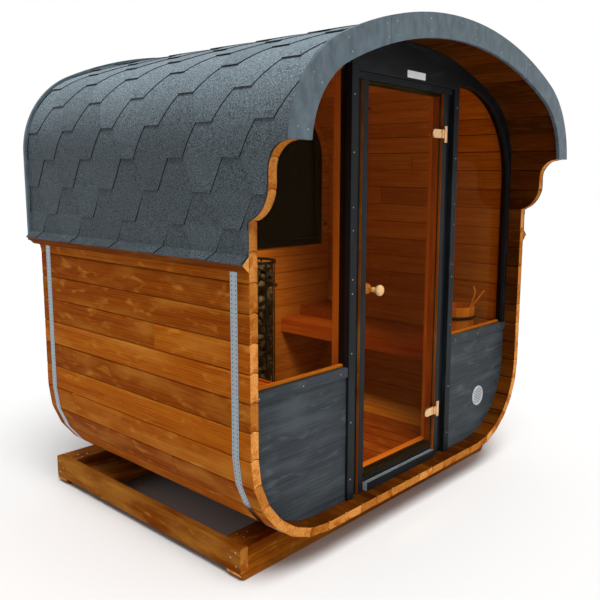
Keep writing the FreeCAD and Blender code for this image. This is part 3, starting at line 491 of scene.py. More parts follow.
framing = {"dark": "0C0E10", "light": "14171A", "ring": "D2D6DA", "streak": "B4BAC2", "worn": "2A3238",
           "knot": "0A0B0C", "wornFrom": 0.54, "wornShare": 0.45, "knots": 0.1, "ringGap": 10.5,
           "relief": 0.3, "rough": 0.55}
aspen = {"dark": "9A561C", "light": "B46C28", "ring": "E0B088", "streak": "D6AA80", "worn": "C0763A",
         "knot": "4A2412", "wornFrom": 0.56, "wornShare": 0.4, "knots": 0.15, "ringGap": 9, "relief": 0.2,
         "rough": 0.6}
pine = {"dark": "E2A24C", "light": "F6BE68", "ring": "F0D2A4", "streak": "EED2AA", "worn": "F4C078",
        "knot": "7A4420", "wornFrom": 0.60, "wornShare": 0.3, "knots": 0.2, "ringGap": 9, "relief": 0.2,
        "rough": 0.55}
decking = {"dark": "8E4E1C", "light": "A66428", "ring": "E2BE94", "streak": "D8B48A", "worn": "C88844",
           "knot": "4E2A10", "wornFrom": 0.56, "wornShare": 0.4, "knots": 0.35, "ringGap": 9, "relief": 0.3,
           "rough": 0.65}

oiledSpruce = woodMaterial("Oiled spruce staves, planed", oiled)
# End grain kept lighter than the faces: painted light for the lit stave ends
spruceEnds = endGrainMaterial("Sawn spruce end grain, oiled", dark="C0883E", light="F0BC74", ring="E2BC88",
                              streak="E2BE8E", stain="D8B88C")
# A darker copy of the oiled staves: painted shade on the underside, where little light reaches
soffitSprucePaintedShade = woodMaterial("Oiled spruce staves, underside darkened as painted shade", oiled, dark="3E1E03", light="5E3208",
                            worn="7C4C16", wornShare=0.35)
bareSpruce = woodMaterial("Bare spruce, planed, inner faces", bare)
baseSpruce = woodMaterial("Brown-oiled sawn base timber", timber)
battenSpruce = woodMaterial("Dark-oiled triangular batten", batten)
oiledRear = woodMaterial("Oiled spruce boards with closed seams, rear wall", oiled, seamPitch=0.118)
rearSpruce = woodMaterial("Bare spruce boards with closed seams, rear wall", bare, seamPitch=0.118,
                          light="DCA058")
blackBoards = woodMaterial("Black-stained brushed boards", stained, shine=0.18)
blackFrames = woodMaterial("Black-stained planed frames", framing, shine=0.2)
benchWood = woodMaterial("Heat-treated aspen slats, planed", aspen)
paleWood = woodMaterial("Clear-oiled pine, planed", pine)
deckWood = woodMaterial("Bare spruce deck boards, sawn", decking)
knobWood = woodMaterial("Turned and waxed birch knob", pine, dark="F0D4A0", light="F8E4BE", worn="FCF0D8",
                        knots=0.0, ringGap=5, rough=0.4, shine=0.4)
bucketWood = woodMaterial("Larch bucket staves, planed", pine, dark="F2AE4E", light="FFCA74", worn="FFD48C",
                          knots=0.05)
roofFelt = feltMaterial("Bitumen shingles with slate granules", dark="474F54", light="50595E",
                        cloud="ECEEF0")
# Near-black cut edges: real bitumen, and also used to draw the shadow lines between tabs as painted shade
feltEdgeAndShadowLines = feltMaterial("Cut bitumen edge of shingles", dark="16181A", light="24272A", cloud="C0C4C8")
fasciaPaint = paintMaterial("Grey opaque paint on spruce fascia, brushed", dark="48535A", light="5A676F",
                            rough=0.5, streak=(45, 45, 90))
plateEnamel = paintMaterial("White enamelled name plate, bare", dark="ECEEF0", light="F4F5F6", rough=0.35,
                            streak=(50, 50, 50))
hoopSteel = paintMaterial("Black-lacquered bucket hoop", dark="15161A", light="22242A", rough=0.4,
                          streak=(50, 50, 17))
bandSteel = strapMaterial("Punched stainless strap, bright rolled")
hingeMetal = metalMaterial("Champagne-anodised aluminium clamps, cast", dark="D8AC78", light="EFC796",
                           metallic=0.9, rough=0.32)
screwSteel = metalMaterial("Zinc-plated screws, pressed", dark="8C8A82", light="B5B2A8", metallic=1.0,
                           rough=0.4)
stoveSteel = metalMaterial("Black-painted stove steel, rolled", dark="131313", light="1F1F20", metallic=0.4,
                           rough=0.45)
sillMetal = metalMaterial("Grey-lacquered aluminium threshold, extruded", dark="868C90", light="A4AAAE",
                          metallic=0.0, rough=0.4)
ventCover = metalMaterial("Light grey enamelled vent cover, pressed", dark="A9ADB0", light="BFC3C6",
                          metallic=0.0, rough=0.4)
bronzeGlass = glassMaterial("Bronze-tinted safety glass, float", faceTint="F0E2C4", glint="E6BE78",
                            mirror=0.006)
rearGlass = glassMaterial("Grey-tinted insulating glass, float", faceTint="3E4144", glint="D8DCE0",
                          mirror=0.010)
olivine = stoneMaterial("Broken olivine stove stones", dark="1E1D1C", light="423F3B", fleck="5E5A54")
print("materials made")


# Staves of the shell, with eased edges and a beaded end. Edges hold (across, inwards)

staveShell = {
    "edge": ((0.0005, 0.0060), (0.0014, 0.0040), (0.0026, 0.0022), (0.0042, 0.0008), (0.0064, 0.0)),
    "capEdge": ((0.0003, 0.0055), (0.0014, 0.0024), (0.0030, 0.0007), (0.0050, 0.0)),
    "depthRows": (0.0, 0.08, 0.2, 0.35, 0.5, 0.65, 0.8, 0.92, 1.0), "endEase": 0.0013,
    "acrossStep": 0.010, "buttShare": 0.30, "buttFrom": -0.45, "buttTo": 0.65, "buttGap": 0.0008,
    "bead": 0.0062, "crownMiddle": 0.02, "leastLength": 0.01}


def beadSide(joint):
    x = outerJoints[joint % jointCount][0]
    return 0 if abs(x) < staveShell["crownMiddle"] else math.copysign(1, x)


def staveCorners(i):
    a, b, c, d = [line[j % jointCount] for line in (outerJoints, innerJoints) for j in (i, i + 1)]
    return a, b, c, d, math.dist(a, b)


def staveProfile(edge, width):
    steps = max(2, round(width / staveShell["acrossStep"]))
    low, high = edge[-1][0], width - edge[-1][0]
    middle = [(low + (high - low) * k / steps, 0.0) for k in range(1, steps)]
    return list(edge) + middle + [(width - t, drop) for t, drop in reversed(edge)]


def addStaveEnd(shape, i, atEnd, turn, offset, tone):
    a, b, c, d, width = staveCorners(i)
    columns = staveProfile(staveShell["capEdge"], width)
    rows = staveShell["depthRows"]
    first = len(shape["points"])
    for row in rows:
        rim = staveShell["endEase"] if row in (0.0, 1.0) else 0.0
        for t, back in columns:
            share = t / width
            bead = beadSide(i) * (1 - share) + beadSide(i + 1) * share
            bead *= staveShell["bead"] * math.sin(math.pi * row) / width
            x, z = between(between(a, b, share), between(c, d, share), row)
            x, z = x + (b[0] - a[0]) * bead, z + (b[1] - a[1]) * bead
            y = atEnd(z) - turn * (back + rim)
            depth = row * staveThickness
            addPoint(shape, (x, y, z), (y + offset[0], t + offset[1], depth + offset[2]), tone)
    count = len(columns)
    for r in range(len(rows) - 1):
        for k in range(count - 1):
            addFaces(shape, [(0, count, count + 1, 1)], 1, first + r * count + k, turn > 0)


def addStave(shape, i, yStart, yEnd):
    def frontEnd(z):
        return frontAt(z) if yStart is None else yStart

    def rearEnd(z):
        return rearAt(z) if yEnd is None else yEnd

    a, b, c, d, width = staveCorners(i)
    profile = staveProfile(staveShell["edge"], width)
    offset, tone = drawBoard()
    ease = staveShell["endEase"]
    least = staveShell["leastLength"]
    walls = [y for y in (panelBack, backWallFace)
             if (yStart is None or y > yStart + least) and (yEnd is None or y < yEnd - least)]
    stations = [(frontEnd, 0.0, ease), (frontEnd, ease, 0.0)] + [(None, y, 0.0) for y in walls]
    stations += [(rearEnd, -ease, 0.0), (rearEnd, 0.0, ease)]
    first = len(shape["points"])
    for end, value, rim in stations:
        for t, drop in profile:
            fall = drop + rim
            for line, sign, depth in (((a, b), -1, fall), ((c, d), 1, staveThickness - fall)):
                x, z = moveOut(between(*line, t / width), a, b, sign * fall)
                y = value + (end(z) if end else 0)
                addPoint(shape, (x, y, z), (y + offset[0], t + offset[1], depth + offset[2]), tone)
    # Inner faces are bare between the front panel and the rear wall, and beyond that oiled wood darkened as
    # painted shade
    finishes = []
    for (here, _, _), (there, _, _) in zip(stations, stations[1:]):
        inside = here is None and there is None
        if here is frontEnd and there is None and yStart is not None:
            inside = yStart > panelBack
        if here is None and there is rearEnd and yEnd is not None:
            inside = yEnd < backWallFace
        finishes.append(2 if inside else 3)
    joinBoard(shape, first, len(profile), finishes)
    addStaveEnd(shape, i, frontEnd, -1, offset, tone)
    addStaveEnd(shape, i, rearEnd, 1, offset, tone)


def makeStaves():
    eaveEnd = 2 * topJoint - eaveJoint
    crown = range(topJoint - crownStaves, topJoint + crownStaves)
    groups = {
        "staves_floor": (range(0, floorStaves), ["floor_staves"]),
        "staves_corners": ([*range(floorStaves, wallStart), *range(wallEnd, jointCount)],
                           ["corner_staves"]),
        "staves_right": (range(wallStart, eaveJoint), ["wall_staves_right"]),
        "staves_left": (range(eaveEnd, wallEnd), ["wall_staves_left"]),
        "staves_shoulders": ([*range(eaveJoint, crown[0]), *range(crown[-1] + 1, eaveEnd)],
                             ["shoulder_staves_left", "shoulder_staves_right"]),
        "staves_crown": (crown, ["crown_staves"])}
    for name, (joints, nodes) in groups.items():
        shape = newShape()
        for i in joints:
            if chance.random() < staveShell["buttShare"] and name != "staves_crown":
                butt = chance.uniform(staveShell["buttFrom"], staveShell["buttTo"])
                addStave(shape, i, None, butt)
                addStave(shape, i, butt + staveShell["buttGap"], None)
            else:
                addStave(shape, i, None, None)
        makePiece(name, shape, [oiledSpruce, spruceEnds, bareSpruce, soffitSprucePaintedShade], 32, nodes)


makeStaves()
print("staves built")


# Shingles: hexagonal tabs in courses from the eave up, and single shingles over the crown

shingles = {"pitch": 0.347, "flat": 0.100, "widest": 0.247, "exposure": 0.1345, "length": 0.292,
            "thickness": 0.0036, "top": 0.0080, "tail": 0.0003, "rowStep": 0.012, "firstCentre": 0.0385,
            "lean": 0.0022, "notchRest": 0.004, "firstCourse": 0.0105, "curl": 0.0009, "curlReach": 0.06,
            "sideGap": 0.0005, "slopeReach": 0.012}
ridge = {"reach": 0.150, "exposure": 0.1345, "overlap": 0.03, "count": 16, "least": 0.02, "steps": 12,
         "frontLift": 0.0150, "backLift": 0.0118, "thickness": 0.0030}
kickX = halfWidth + 0.033
kickZ = battenZ + 0.0325
kickTop = battenZ + 0.065


def roofLine():
    start = kickTop - lowZ
    steps = 420
    line = [(kickX, kickZ), (halfWidth, kickTop)]
    line += [shellPoint(start + (halfTravel - start) * k / steps) for k in range(1, steps + 1)]
    fine = [(0.0, line[0])]
    for p, q in zip(line, line[1:]):
        length = math.dist(p, q)
        parts = max(1, math.ceil(length / 0.004))
        for k in range(1, parts + 1):
            fine.append((fine[-1][0] + length / parts, between(p, q, k / parts)))
    return fine


roof = roofLine()
roofTravel = roof[-1][0]


def roofAt(travel):
    travel = min(max(travel, 0.0), roofTravel)
    low, high = 0, len(roof) - 1
    while high - low > 1:
        middle = (low + high) // 2
        if roof[middle][0] <= travel:
            low = middle
        else:
            high = middle
    a, b = roof[low], roof[high]
    return between(a[1], b[1], (travel - a[0]) / max(b[0] - a[0], 1e-9))


def roofPoint(travel, lift, side):
    reach = shingles["slopeReach"]
    x, z = moveOut(roofAt(travel), roofAt(travel - reach), roofAt(travel + reach), lift)
    return side * x, z


def addRoofPoint(shape, travel, y, lift, side, tone, mark=None):
    x, z = roofPoint(travel, lift, side)
    addPoint(shape, (x, y, z), (y, travel + side * 7 if mark is None else mark, lift), tone)


def addTab(shape, side, travelStart, centre, tone, curl):
    notch = shingles["exposure"] + shingles["notchRest"]
    steps = math.ceil(shingles["length"] / shingles["rowStep"])
    marks = sorted({shingles["length"] * k / steps for k in range(steps + 1)} | {notch})
    rows = []
    for mark in marks:
        if mark <= notch:
            rows.append((mark, shingles["flat"] + (shingles["widest"] - shingles["flat"]) * mark / notch))
        if mark >= notch:
            rows.append((mark, shingles["pitch"]))
    first = len(shape["points"])
    for mark, width in rows:
        travel = travelStart + mark
        if travel > roofTravel:
            break
        lift = shingles["top"] - (shingles["top"] - shingles["tail"]) * mark / shingles["length"]
        lift += curl * max(0, 1 - mark / shingles["curlReach"])
        z = roofAt(travel)[1]
        # Below the batten's top the felt is cut straight at the wall's ends
        yLow = frontAt(z) + shingles["sideGap"]
        yHigh = (rearAt(z) if z > kickTop else staveBack) - shingles["sideGap"]
        # The lower layer leans out, so the dark edge shows along every slant as a painted shadow line
        # between tabs
        for reach in (-width / 2, width / 2):
            for height, lean in ((lift, 0.0), (lift - shingles["thickness"], shingles["lean"])):
                y = min(max(centre + reach + math.copysign(lean, reach), yLow), yHigh)
                addRoofPoint(shape, travel, y, height, side, tone)
    addStrip(shape, first, 1, side < 0)


def addSheet(shape, side, reach, steps, lift, thickness):
    first = len(shape["points"])
    for k in range(steps + 1):
        travel = reach * k / steps
        z = roofAt(travel)[1]
        for y in (frontAt(z), rearAt(z) if z > kickTop else staveBack):
            for height in (lift, lift - thickness):
                addRoofPoint(shape, travel, y, height, side, 0.2)
    addStrip(shape, first, 0, side < 0, cap=False)
    addFaces(shape, [(0, 1, 3, 2)], 0, first)


def makeShingles():
    pitch = shingles["pitch"]
    for side, name, node in ((-1, "shingle_courses_left", "shingles_left"),
                             (1, "shingle_courses_right", "shingles_right")):
        shape = newShape()
        addSheet(shape, side, roofTravel, 200, 0.0003, 0.0003)
        addSheet(shape, side, 0.30, 26, 0.0040, 0.0036)
        courses = int((roofTravel - 0.10) / shingles["exposure"])
        for course in range(courses + 1):
            start = shingles["firstCourse"] + shingles["exposure"] * course if course else 0.0
            shift = shingles["firstCentre"] + (pitch / 2 if course % 2 == 0 else 0.0)
            for k in range(-4, 4):
                centre = shift + k * pitch
                if centre + pitch / 2 >= staveFront and centre - pitch / 2 <= staveBack:
                    addTab(shape, side, start, centre, chance.random(), chance.uniform(0, shingles["curl"]))
        makePiece(name, shape, [roofFelt, feltEdgeAndShadowLines], 25, [node])


def makeRidge():
    shape = newShape()
    for k in range(ridge["count"]):
        front = staveBack - ridge["exposure"] * (k + 1)
        back = min(staveBack, front + ridge["exposure"] + ridge["overlap"])
        front = max(front, staveFront)
        if back - front < ridge["least"]:
            continue
        tone = chance.random()
        first = len(shape["points"])
        for j in range(ridge["steps"] + 1):
            travel = roofTravel - ridge["reach"] + 2 * ridge["reach"] * j / ridge["steps"]
            side = 1 if travel <= roofTravel else -1
            near = travel if side > 0 else 2 * roofTravel - travel
            for y, lift in ((front, ridge["frontLift"]), (back, ridge["backLift"])):
                for height in (lift, lift - ridge["thickness"]):
                    addRoofPoint(shape, near, y, height, side, tone, travel)
        addStrip(shape, first, 1, cap=False)
    makePiece("ridge_shingles", shape, [roofFelt, feltEdgeAndShadowLines], 25, ["shingles_crown"])


makeShingles()
makeRidge()
print("shingles laid")


# Steel bands, wrapped from batten to batten under the floor

bands = {"width": 0.042, "thickness": 0.0015, "middles": (wallFront + 0.089, wallBack - 0.075),
         "endGap": 0.002}


def makeBands():
    upright = [p for p in outerJoints[wallStart:] if p[1] < battenZ - bands["endGap"]]
    line = [(-halfWidth, battenZ)] + [p for p in upright if p[0] < 0] + outerJoints[:wallStart]
    line += [p for p in upright if p[0] > 0] + [(halfWidth, battenZ)]
    shape = newShape()
    for middle in bands["middles"]:
        first = len(shape["points"])
        travel = 0.0
        for i, here in enumerate(line):
            before, after = line[max(i - 1, 0)], line[min(i + 1, len(line) - 1)]
            travel += math.dist(before, here)
            for offset in (-bands["width"] / 2, bands["width"] / 2):
                for x, z in (moveOut(here, before, after, bands["thickness"]), here):
                    addPoint(shape, (x, middle + offset, z), (travel, offset, 0.0))
        addStrip(shape, first, flip=True, cap=False)
    makePiece("punched_bands", shape, [bandSteel], 50, ["steel_bands"])


makeBands()
print("bands wrapped")


# Pieces that keep the frame's form, with eased edges and board coordinates

easing = {"weld": 0.00002, "flatBelow": 1.0, "sharpAbove": 30, "segments": 2, "smoothBelow": 40}


def makeEased(name, node, slot, materials, ends=None, stopFrom=None, outside=False, along=None, ease=0.002,
              body="cabin"):
    # The second material goes on faces along the axis ends, behind stopFrom, or to the rear
    form = bmesh.new()
    form.from_mesh(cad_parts[node].data)
    bmesh.ops.remove_doubles(form, verts=form.verts, dist=easing["weld"])
    bmesh.ops.dissolve_limit(form, angle_limit=math.radians(easing["flatBelow"]), verts=form.verts,
                             edges=form.edges)
    limit = math.radians(easing["sharpAbove"])
    sharp = [e for e in form.edges if len(e.link_faces) == 2 and e.calc_face_angle(0) > limit]
    bmesh.ops.bevel(form, geom=sharp, offset=ease, segments=easing["segments"], profile=0.5, affect="EDGES",
                    clamp_overlap=True)
    form.normal_update()
    mesh = bpy.data.meshes.new(name)
    form.to_mesh(mesh)
    form.free()
    for material in materials:
        mesh.materials.append(material)
    storeGrain(mesh, *boardCoordinates(mesh, along))
    for face in mesh.polygons:
        atEnd = ends is not None and abs(face.normal[ends]) > 0.9
        behind = stopFrom is not None and face.center.y > stopFrom
        face.material_index = int(atEnd or behind or (outside and face.normal.y > 0.5))
    thing = register(name, mesh, easing["smoothBelow"], body, [node])
    thing.modifiers.new("face weights", "WEIGHTED_NORMAL").keep_sharp = True


def boardCoordinates(mesh, along):
    # Each loose part is a board: grain along its longest side, and its own place in the wood
    count = len(mesh.vertices)
    group = list(range(count))

    def root(i):
        while group[i] != i:
            group[i] = group[group[i]]
            i = group[i]
        return i

    for edge in mesh.edges:
        a, b = root(edge.vertices[0]), root(edge.vertices[1])
        if a != b:
            group[a] = b
    islands = {}
    for i in range(count):
        islands.setdefault(root(i), []).append(i)
    grain, tone = [None] * count, [0.0] * count
    for members in islands.values():
        points = [mesh.vertices[i].co for i in members]
        sizes = [max(p[k] for p in points) - min(p[k] for p in points) for k in range(3)]
        main = along if along is not None else sizes.index(max(sizes))
        axes = [main] + sorted([k for k in range(3) if k != main], key=lambda k: -sizes[k])
        offset, shade = drawBoard()
        for i, p in zip(members, points):
            grain[i] = [p[axis] + shift for axis, shift in zip(axes, offset)]
            tone[i] = shade
    return grain, tone


acrossX, alongY, upZ = 0, 1, 2
baseTimbers = [baseSpruce, spruceEnds]
easedPieces = (
    ("stave_wood", [battenSpruce, spruceEnds], {"ends": alongY, "ease": 0.0015},
     {"battens": "eave_battens"}),
    ("base_wood", baseTimbers, {"ends": acrossX, "ease": 0.003}, {"beams_ground": "ground_beams"}),
    ("base_wood", baseTimbers, {"ends": alongY, "ease": 0.003}, {"beams_side": "side_beams"}),
    ("base_wood", baseTimbers, {"ends": acrossX, "ease": 0.003},
     {"planks_lower": "cross_planks_lower", "planks_upper": "cross_planks_upper"}),
    ("fascia_paint", [fasciaPaint], {},
     {"fascia_front_middle": "fascia_front_crown", "fascia_front_bends": "fascia_front_sides",
      "fascia_rear_middle": "fascia_rear_crown", "fascia_rear_bends": "fascia_rear_sides"}),
    ("black_wood", [blackBoards], {"along": acrossX},
     {"panel_left": "front_panel_left", "panel_right": "front_panel_right", "rails_sill": "sill_rails"}),
    ("black_wood", [blackFrames], {"along": upZ},
     {"frames_edge": "edge_frames", "posts_front": "front_posts"}),
    ("black_wood", [blackFrames, oiledSpruce], {"along": upZ, "ends": acrossX}, {"jambs": "door_jambs"}),
    ("black_wood", [blackFrames], {"along": acrossX},
     {"head_door": "door_head", "panel_head": "head_panel"}),
    ("black_wood", [sillMetal, blackFrames], {"ends": alongY, "ease": 0.001, "stopFrom": -0.6515},
     {"threshold_front": "threshold"}),
    ("inner_wood", [rearSpruce, oiledRear], {"along": acrossX, "outside": True},
     {"wall_rear_low": "back_wall_lower", "wall_rear_sides": "back_wall_sides",
      "wall_rear_high": "back_wall_top"}),
    ("black_wood", [blackFrames], {"ease": 0.003}, {"frame_window": "window_frame"}),
    ("hinge_metal", [hingeMetal], {"ease": 0.0006}, {"plates_hinge": "hinge_plates"}),
    ("inner_wood", [paleWood], {"along": acrossX},
     {"sills_inner": "inner_sills", "threshold_inner": "inner_threshold"}),
    ("inner_wood", [paleWood], {"along": upZ}, {"posts_inner": "inner_posts"}),
    ("inner_wood", [deckWood], {"along": alongY}, {"deck": "floor_deck"}),
    ("inner_wood", [benchWood], {"along": alongY}, {"bench_l": "bench_left", "bench_r": "bench_right"}),
    ("inner_wood", [benchWood], {"along": acrossX}, {"rest": "headrest"}),
    ("stove_steel", [stoveSteel], {"ease": 0.0008}, {"cage": "stove_cage"}),
    ("bucket_wood", [bucketWood], {"ease": 0.0008}, {"scoop": "ladle"}),
    ("hinge_metal", [hingeMetal], {"ease": 0.0006, "body": "door"}, {"clamps": "hinge_clamps"}))
for slot, materials, options, pieces in easedPieces:
    for name, node in pieces.items():
        makeEased(name, node, slot, materials, **options)
print("frame pieces eased")

# Flat glass keeps the frame's own faces, so that nothing bends what is seen through it
for node, glass in (("side_glass", bronzeGlass), ("door_glass", bronzeGlass), ("window_glass", rearGlass)):
    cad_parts[node].data.materials.clear()
    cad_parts[node].data.materials.append(glass)


# Turned and small pieces

def addTurned(shape, profile, centre, axis, sides, finish=0, tone=0.5):
    # The profile holds (radius, reach along the axis) from the foot to the tip
    axis = Vector(axis).normalized()
    across = axis.cross(Vector((0, 0, 1)) if abs(axis.z) < 0.9 else Vector((1, 0, 0))).normalized()
    up = axis.cross(across)
    rings = []
    for radius, reach in profile:
        ring = []
        for k in range(sides if radius else 1):
            turn = 2 * math.pi * k / sides
            u, v = radius * math.cos(turn), radius * math.sin(turn)
            ring.append(addPoint(shape, Vector(centre) + axis * reach + across * u + up * v,
                                 (reach + tone * 9, u + 0.05, v + 0.05), tone))
        rings.append(ring)
    joinRings(shape, rings, finish)


def addScrew(shape, place, axis, radius, rise=0.0008):
    profile = [(radius, -0.0002), (radius * 0.94, rise * 0.6), (radius * 0.8, rise), (radius * 0.45, rise),
               (radius * 0.36, rise * 0.15), (0, rise * 0.15)]
    addTurned(shape, profile, place, axis, 14)


screws = {"postZ": (0.30, 0.58, 0.92, 1.195, 1.265, 1.485, 1.593, 1.833, 2.096), "postX": 0.4205,
          "postStray": 0.008, "railX": (0.490, 0.735, 0.990),
          "fasciaTravel": (0.065, 0.31, 0.545, 0.615, 0.86, 1.10, 1.31), "fasciaInset": (0.026, 0.078),
          "fasciaRise": 0.020, "plankEnd": ((0.935, 0.122), (0.894, 0.101), (0.934, 0.076)),
          "beamEnd": ((0.030, 0.064), (0.066, 0.094), (0.032, 0.125)),
          "timberRadius": 0.0048, "frameRadius": 0.0036, "nailRadius": 0.0030, "nailRise": 0.00005}


def fasciaPlace(fromCrown, inset, side):
    travel = halfTravel - fromCrown
    a, b = [shellPoint(travel + reach) for reach in (-0.01, 0.01)]
    x, z = moveOut(shellPoint(travel), a, b, screws["fasciaRise"] - inset)
    return side * x, z


def makeScrews():
    shape = newShape()
    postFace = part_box("front_posts")[0].y
    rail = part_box("sill_rails")
    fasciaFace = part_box("fascia_front_crown")[0].y
    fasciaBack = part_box("fascia_rear_crown")[1].y
    low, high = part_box("cross_planks_upper")
    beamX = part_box("side_beams")[1].x
    for side in (-1, 1):
        for z in screws["postZ"]:
            z += chance.uniform(-screws["postStray"], screws["postStray"])
            addScrew(shape, (side * screws["postX"], postFace, z), (0, -1, 0), screws["frameRadius"])
        for x in screws["railX"]:
            addScrew(shape, (side * x, rail[0].y, (rail[0].z + rail[1].z) / 2), (0, -1, 0),
                     screws["frameRadius"])
        for travel in screws["fasciaTravel"]:
            for inset in screws["fasciaInset"]:
                x, z = fasciaPlace(travel, inset, side)
                for y, turn in ((fasciaFace, -1), (fasciaBack, 1)):
                    addScrew(shape, (x, y, z), (0, turn, 0), screws["nailRadius"], screws["nailRise"])
        for x, y in screws["plankEnd"]:
            for place in (low.y + y, high.y - y):
                addScrew(shape, (side * x, place, high.z), (0, 0, 1), screws["timberRadius"])
        for y, z in screws["beamEnd"]:
            for place in (low.y + y, high.y - y):
                addScrew(shape, (side * beamX, place, z), (side, 0, 0), screws["timberRadius"])
    makePiece("screw_heads", shape, [screwSteel], 30)


makeScrews()
print("screws set")

namePlate = {"width": 0.150, "height": 0.034, "thickness": 0.0018, "x": 0.041, "z": 2.2225, "corner": 0.004,
             "ease": 0.0006, "rivetInset": 0.007, "rivet": ((0.0022, 0.0), (0.0018, 0.0006), (0, 0.0006))}


def makeNamePlate():
    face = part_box("head_panel")[0].y
    thickness, corner = namePlate["thickness"], namePlate["corner"]
    halfLong, halfHigh = namePlate["width"] / 2, namePlate["height"] / 2
    shape = newShape()
    rings = []
    for depth, shrink in ((0.0, 0.0), (thickness * 0.6, 0.0), (thickness, namePlate["ease"])):
        ring = []
        for quarter, (signX, signZ) in enumerate(((1, 1), (-1, 1), (-1, -1), (1, -1))):
            for k in range(5):
                turn = math.radians(90 * quarter + 22.5 * k)
                x = signX * (halfLong - corner) + (corner - shrink) * math.cos(turn)
                z = signZ * (halfHigh - corner) + (corner - shrink) * math.sin(turn)
                place = (namePlate["x"] + x, face - depth, namePlate["z"] + z)
                ring.append(addPoint(shape, place, (x, z, depth)))
        rings.append(ring)
    joinRings(shape, rings)
    addFaces(shape, [rings[-1]])
    for side in (-1, 1):
        x = namePlate["x"] + side * (halfLong - namePlate["rivetInset"])
        addTurned(shape, namePlate["rivet"], (x, face - thickness, namePlate["z"]), (0, -1, 0), 12, 1)
    makePiece("name_plate", shape, [plateEnamel, screwSteel], 35)


makeNamePlate()

knobs = {"profile": (
    (0.0040, -0.0038), (0.0120, 0.0), (0.0122, 0.0018), (0.0112, 0.0050), (0.0098, 0.0100),
    (0.0095, 0.0145), (0.0110, 0.0170), (0.0160, 0.0200), (0.0212, 0.0245), (0.0250, 0.0300),
    (0.0268, 0.0358), (0.0262, 0.0412), (0.0232, 0.0460), (0.0180, 0.0495), (0.0110, 0.0513),
    (0.0045, 0.0519), (0, 0.0520))}


def makeKnobs():
    low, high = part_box("door_knobs")
    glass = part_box("door_glass")
    centre = (low + high) / 2
    shape = newShape()
    for y, turn, tone in ((glass[0].y, -1, 0.3), (glass[1].y, 1, 0.7)):
        addTurned(shape, knobs["profile"], (centre.x, y, centre.z), (0, turn, 0), 40, 0, tone)
    makePiece("turned_knobs", shape, [knobWood], 50, ["door_knobs"], "door")


makeKnobs()

vent = {"slats": 10, "slatWidth": 0.0052, "slatThickness": 0.0012, "tilt": 18, "hole": 0.050, "rim": 0.060,
        "slatSink": 0.0006}
blockFaces = ((0, 1, 5, 4), (1, 2, 6, 5), (2, 3, 7, 6), (3, 2, 1, 0), (4, 5, 6, 7))
blockBottom = (3, 0, 4, 7)


def makeVent():
    low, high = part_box("vent_grille")
    centre = (low + high) / 2
    depth = high.y - low.y
    hole, rim = vent["hole"], vent["rim"]
    shape = newShape()
    addTurned(shape, [(hole, 0.0), (rim, 0.0), (rim, depth * 0.45), (rim - 0.0012, depth * 0.75),
                      (rim - 0.004, depth * 0.98), (hole + 0.003, depth), (hole + 0.0008, depth * 0.9),
                      (hole, depth * 0.6), (hole, 0.0)], (centre.x, high.y, centre.z), (0, -1, 0), 56)
    sine, cosine = math.sin(math.radians(vent["tilt"])), math.cos(math.radians(vent["tilt"]))
    for k in range(vent["slats"]):
        z = centre.z - hole + 2 * hole * (k + 0.5) / vent["slats"]
        half = math.sqrt(max(hole ** 2 - (abs(z - centre.z) - 0.001) ** 2, 0)) + vent["slatSink"]
        first = len(shape["points"])
        for x in (-half, half):
            for u, v in ((-1, -1), (1, -1), (1, 1), (-1, 1)):
                along, thick = u * vent["slatWidth"] / 2, v * vent["slatThickness"] / 2
                y = high.y - depth * 0.5 + along * sine + thick * cosine
                addPoint(shape, (centre.x + x, y, z + along * cosine - thick * sine), (x, along, thick))
        addFaces(shape, [*blockFaces, blockBottom], 0, first)
    makePiece("louvred_vent", shape, [ventCover], 35, ["vent_grille"])


makeVent()
print("plate, knobs and vent made")

stones = {"size": 0.036, "rowHeight": 0.047, "around": 15, "radius": 0.120, "cuts": 7, "cutDepth": 0.92,
          "topRings": ((0.0, 1), (0.045, 5), (0.088, 10)), "topDrop": 0.030, "dome": 0.12}


def randomDirection():
    return Vector([chance.gauss(0, 1) for _ in range(3)]).normalized()


def addStone(shape, template, centre, size):
    angle = chance.uniform(0, 6.28)
    axis = Vector((chance.random(), chance.random(), chance.random() + 0.1)).normalized()
    spin = Matrix.Rotation(angle, 3, axis)
    stretch = [chance.uniform(*span) for span in ((0.85, 1.25), (0.75, 1.05), (0.65, 0.95))]
    cuts = [(randomDirection(), chance.uniform(0.62, 0.9)) for _ in range(stones["cuts"])]
    first = len(shape["points"])
    tone = chance.random()
    for corner in template[0]:
        p = corner.copy()
        for normal, reach in cuts:
            p -= normal * max(p.dot(normal) - reach, 0) * stones["cutDepth"]
        p = spin @ Vector([c * s for c, s in zip(p, stretch)]) * size + centre
        addPoint(shape, p, p, tone)
    addFaces(shape, template[1], 0, first)


def aroundAxis(centre, turn, reach, z):
    return Vector((centre.x + reach * math.cos(turn), centre.y + reach * math.sin(turn), z))


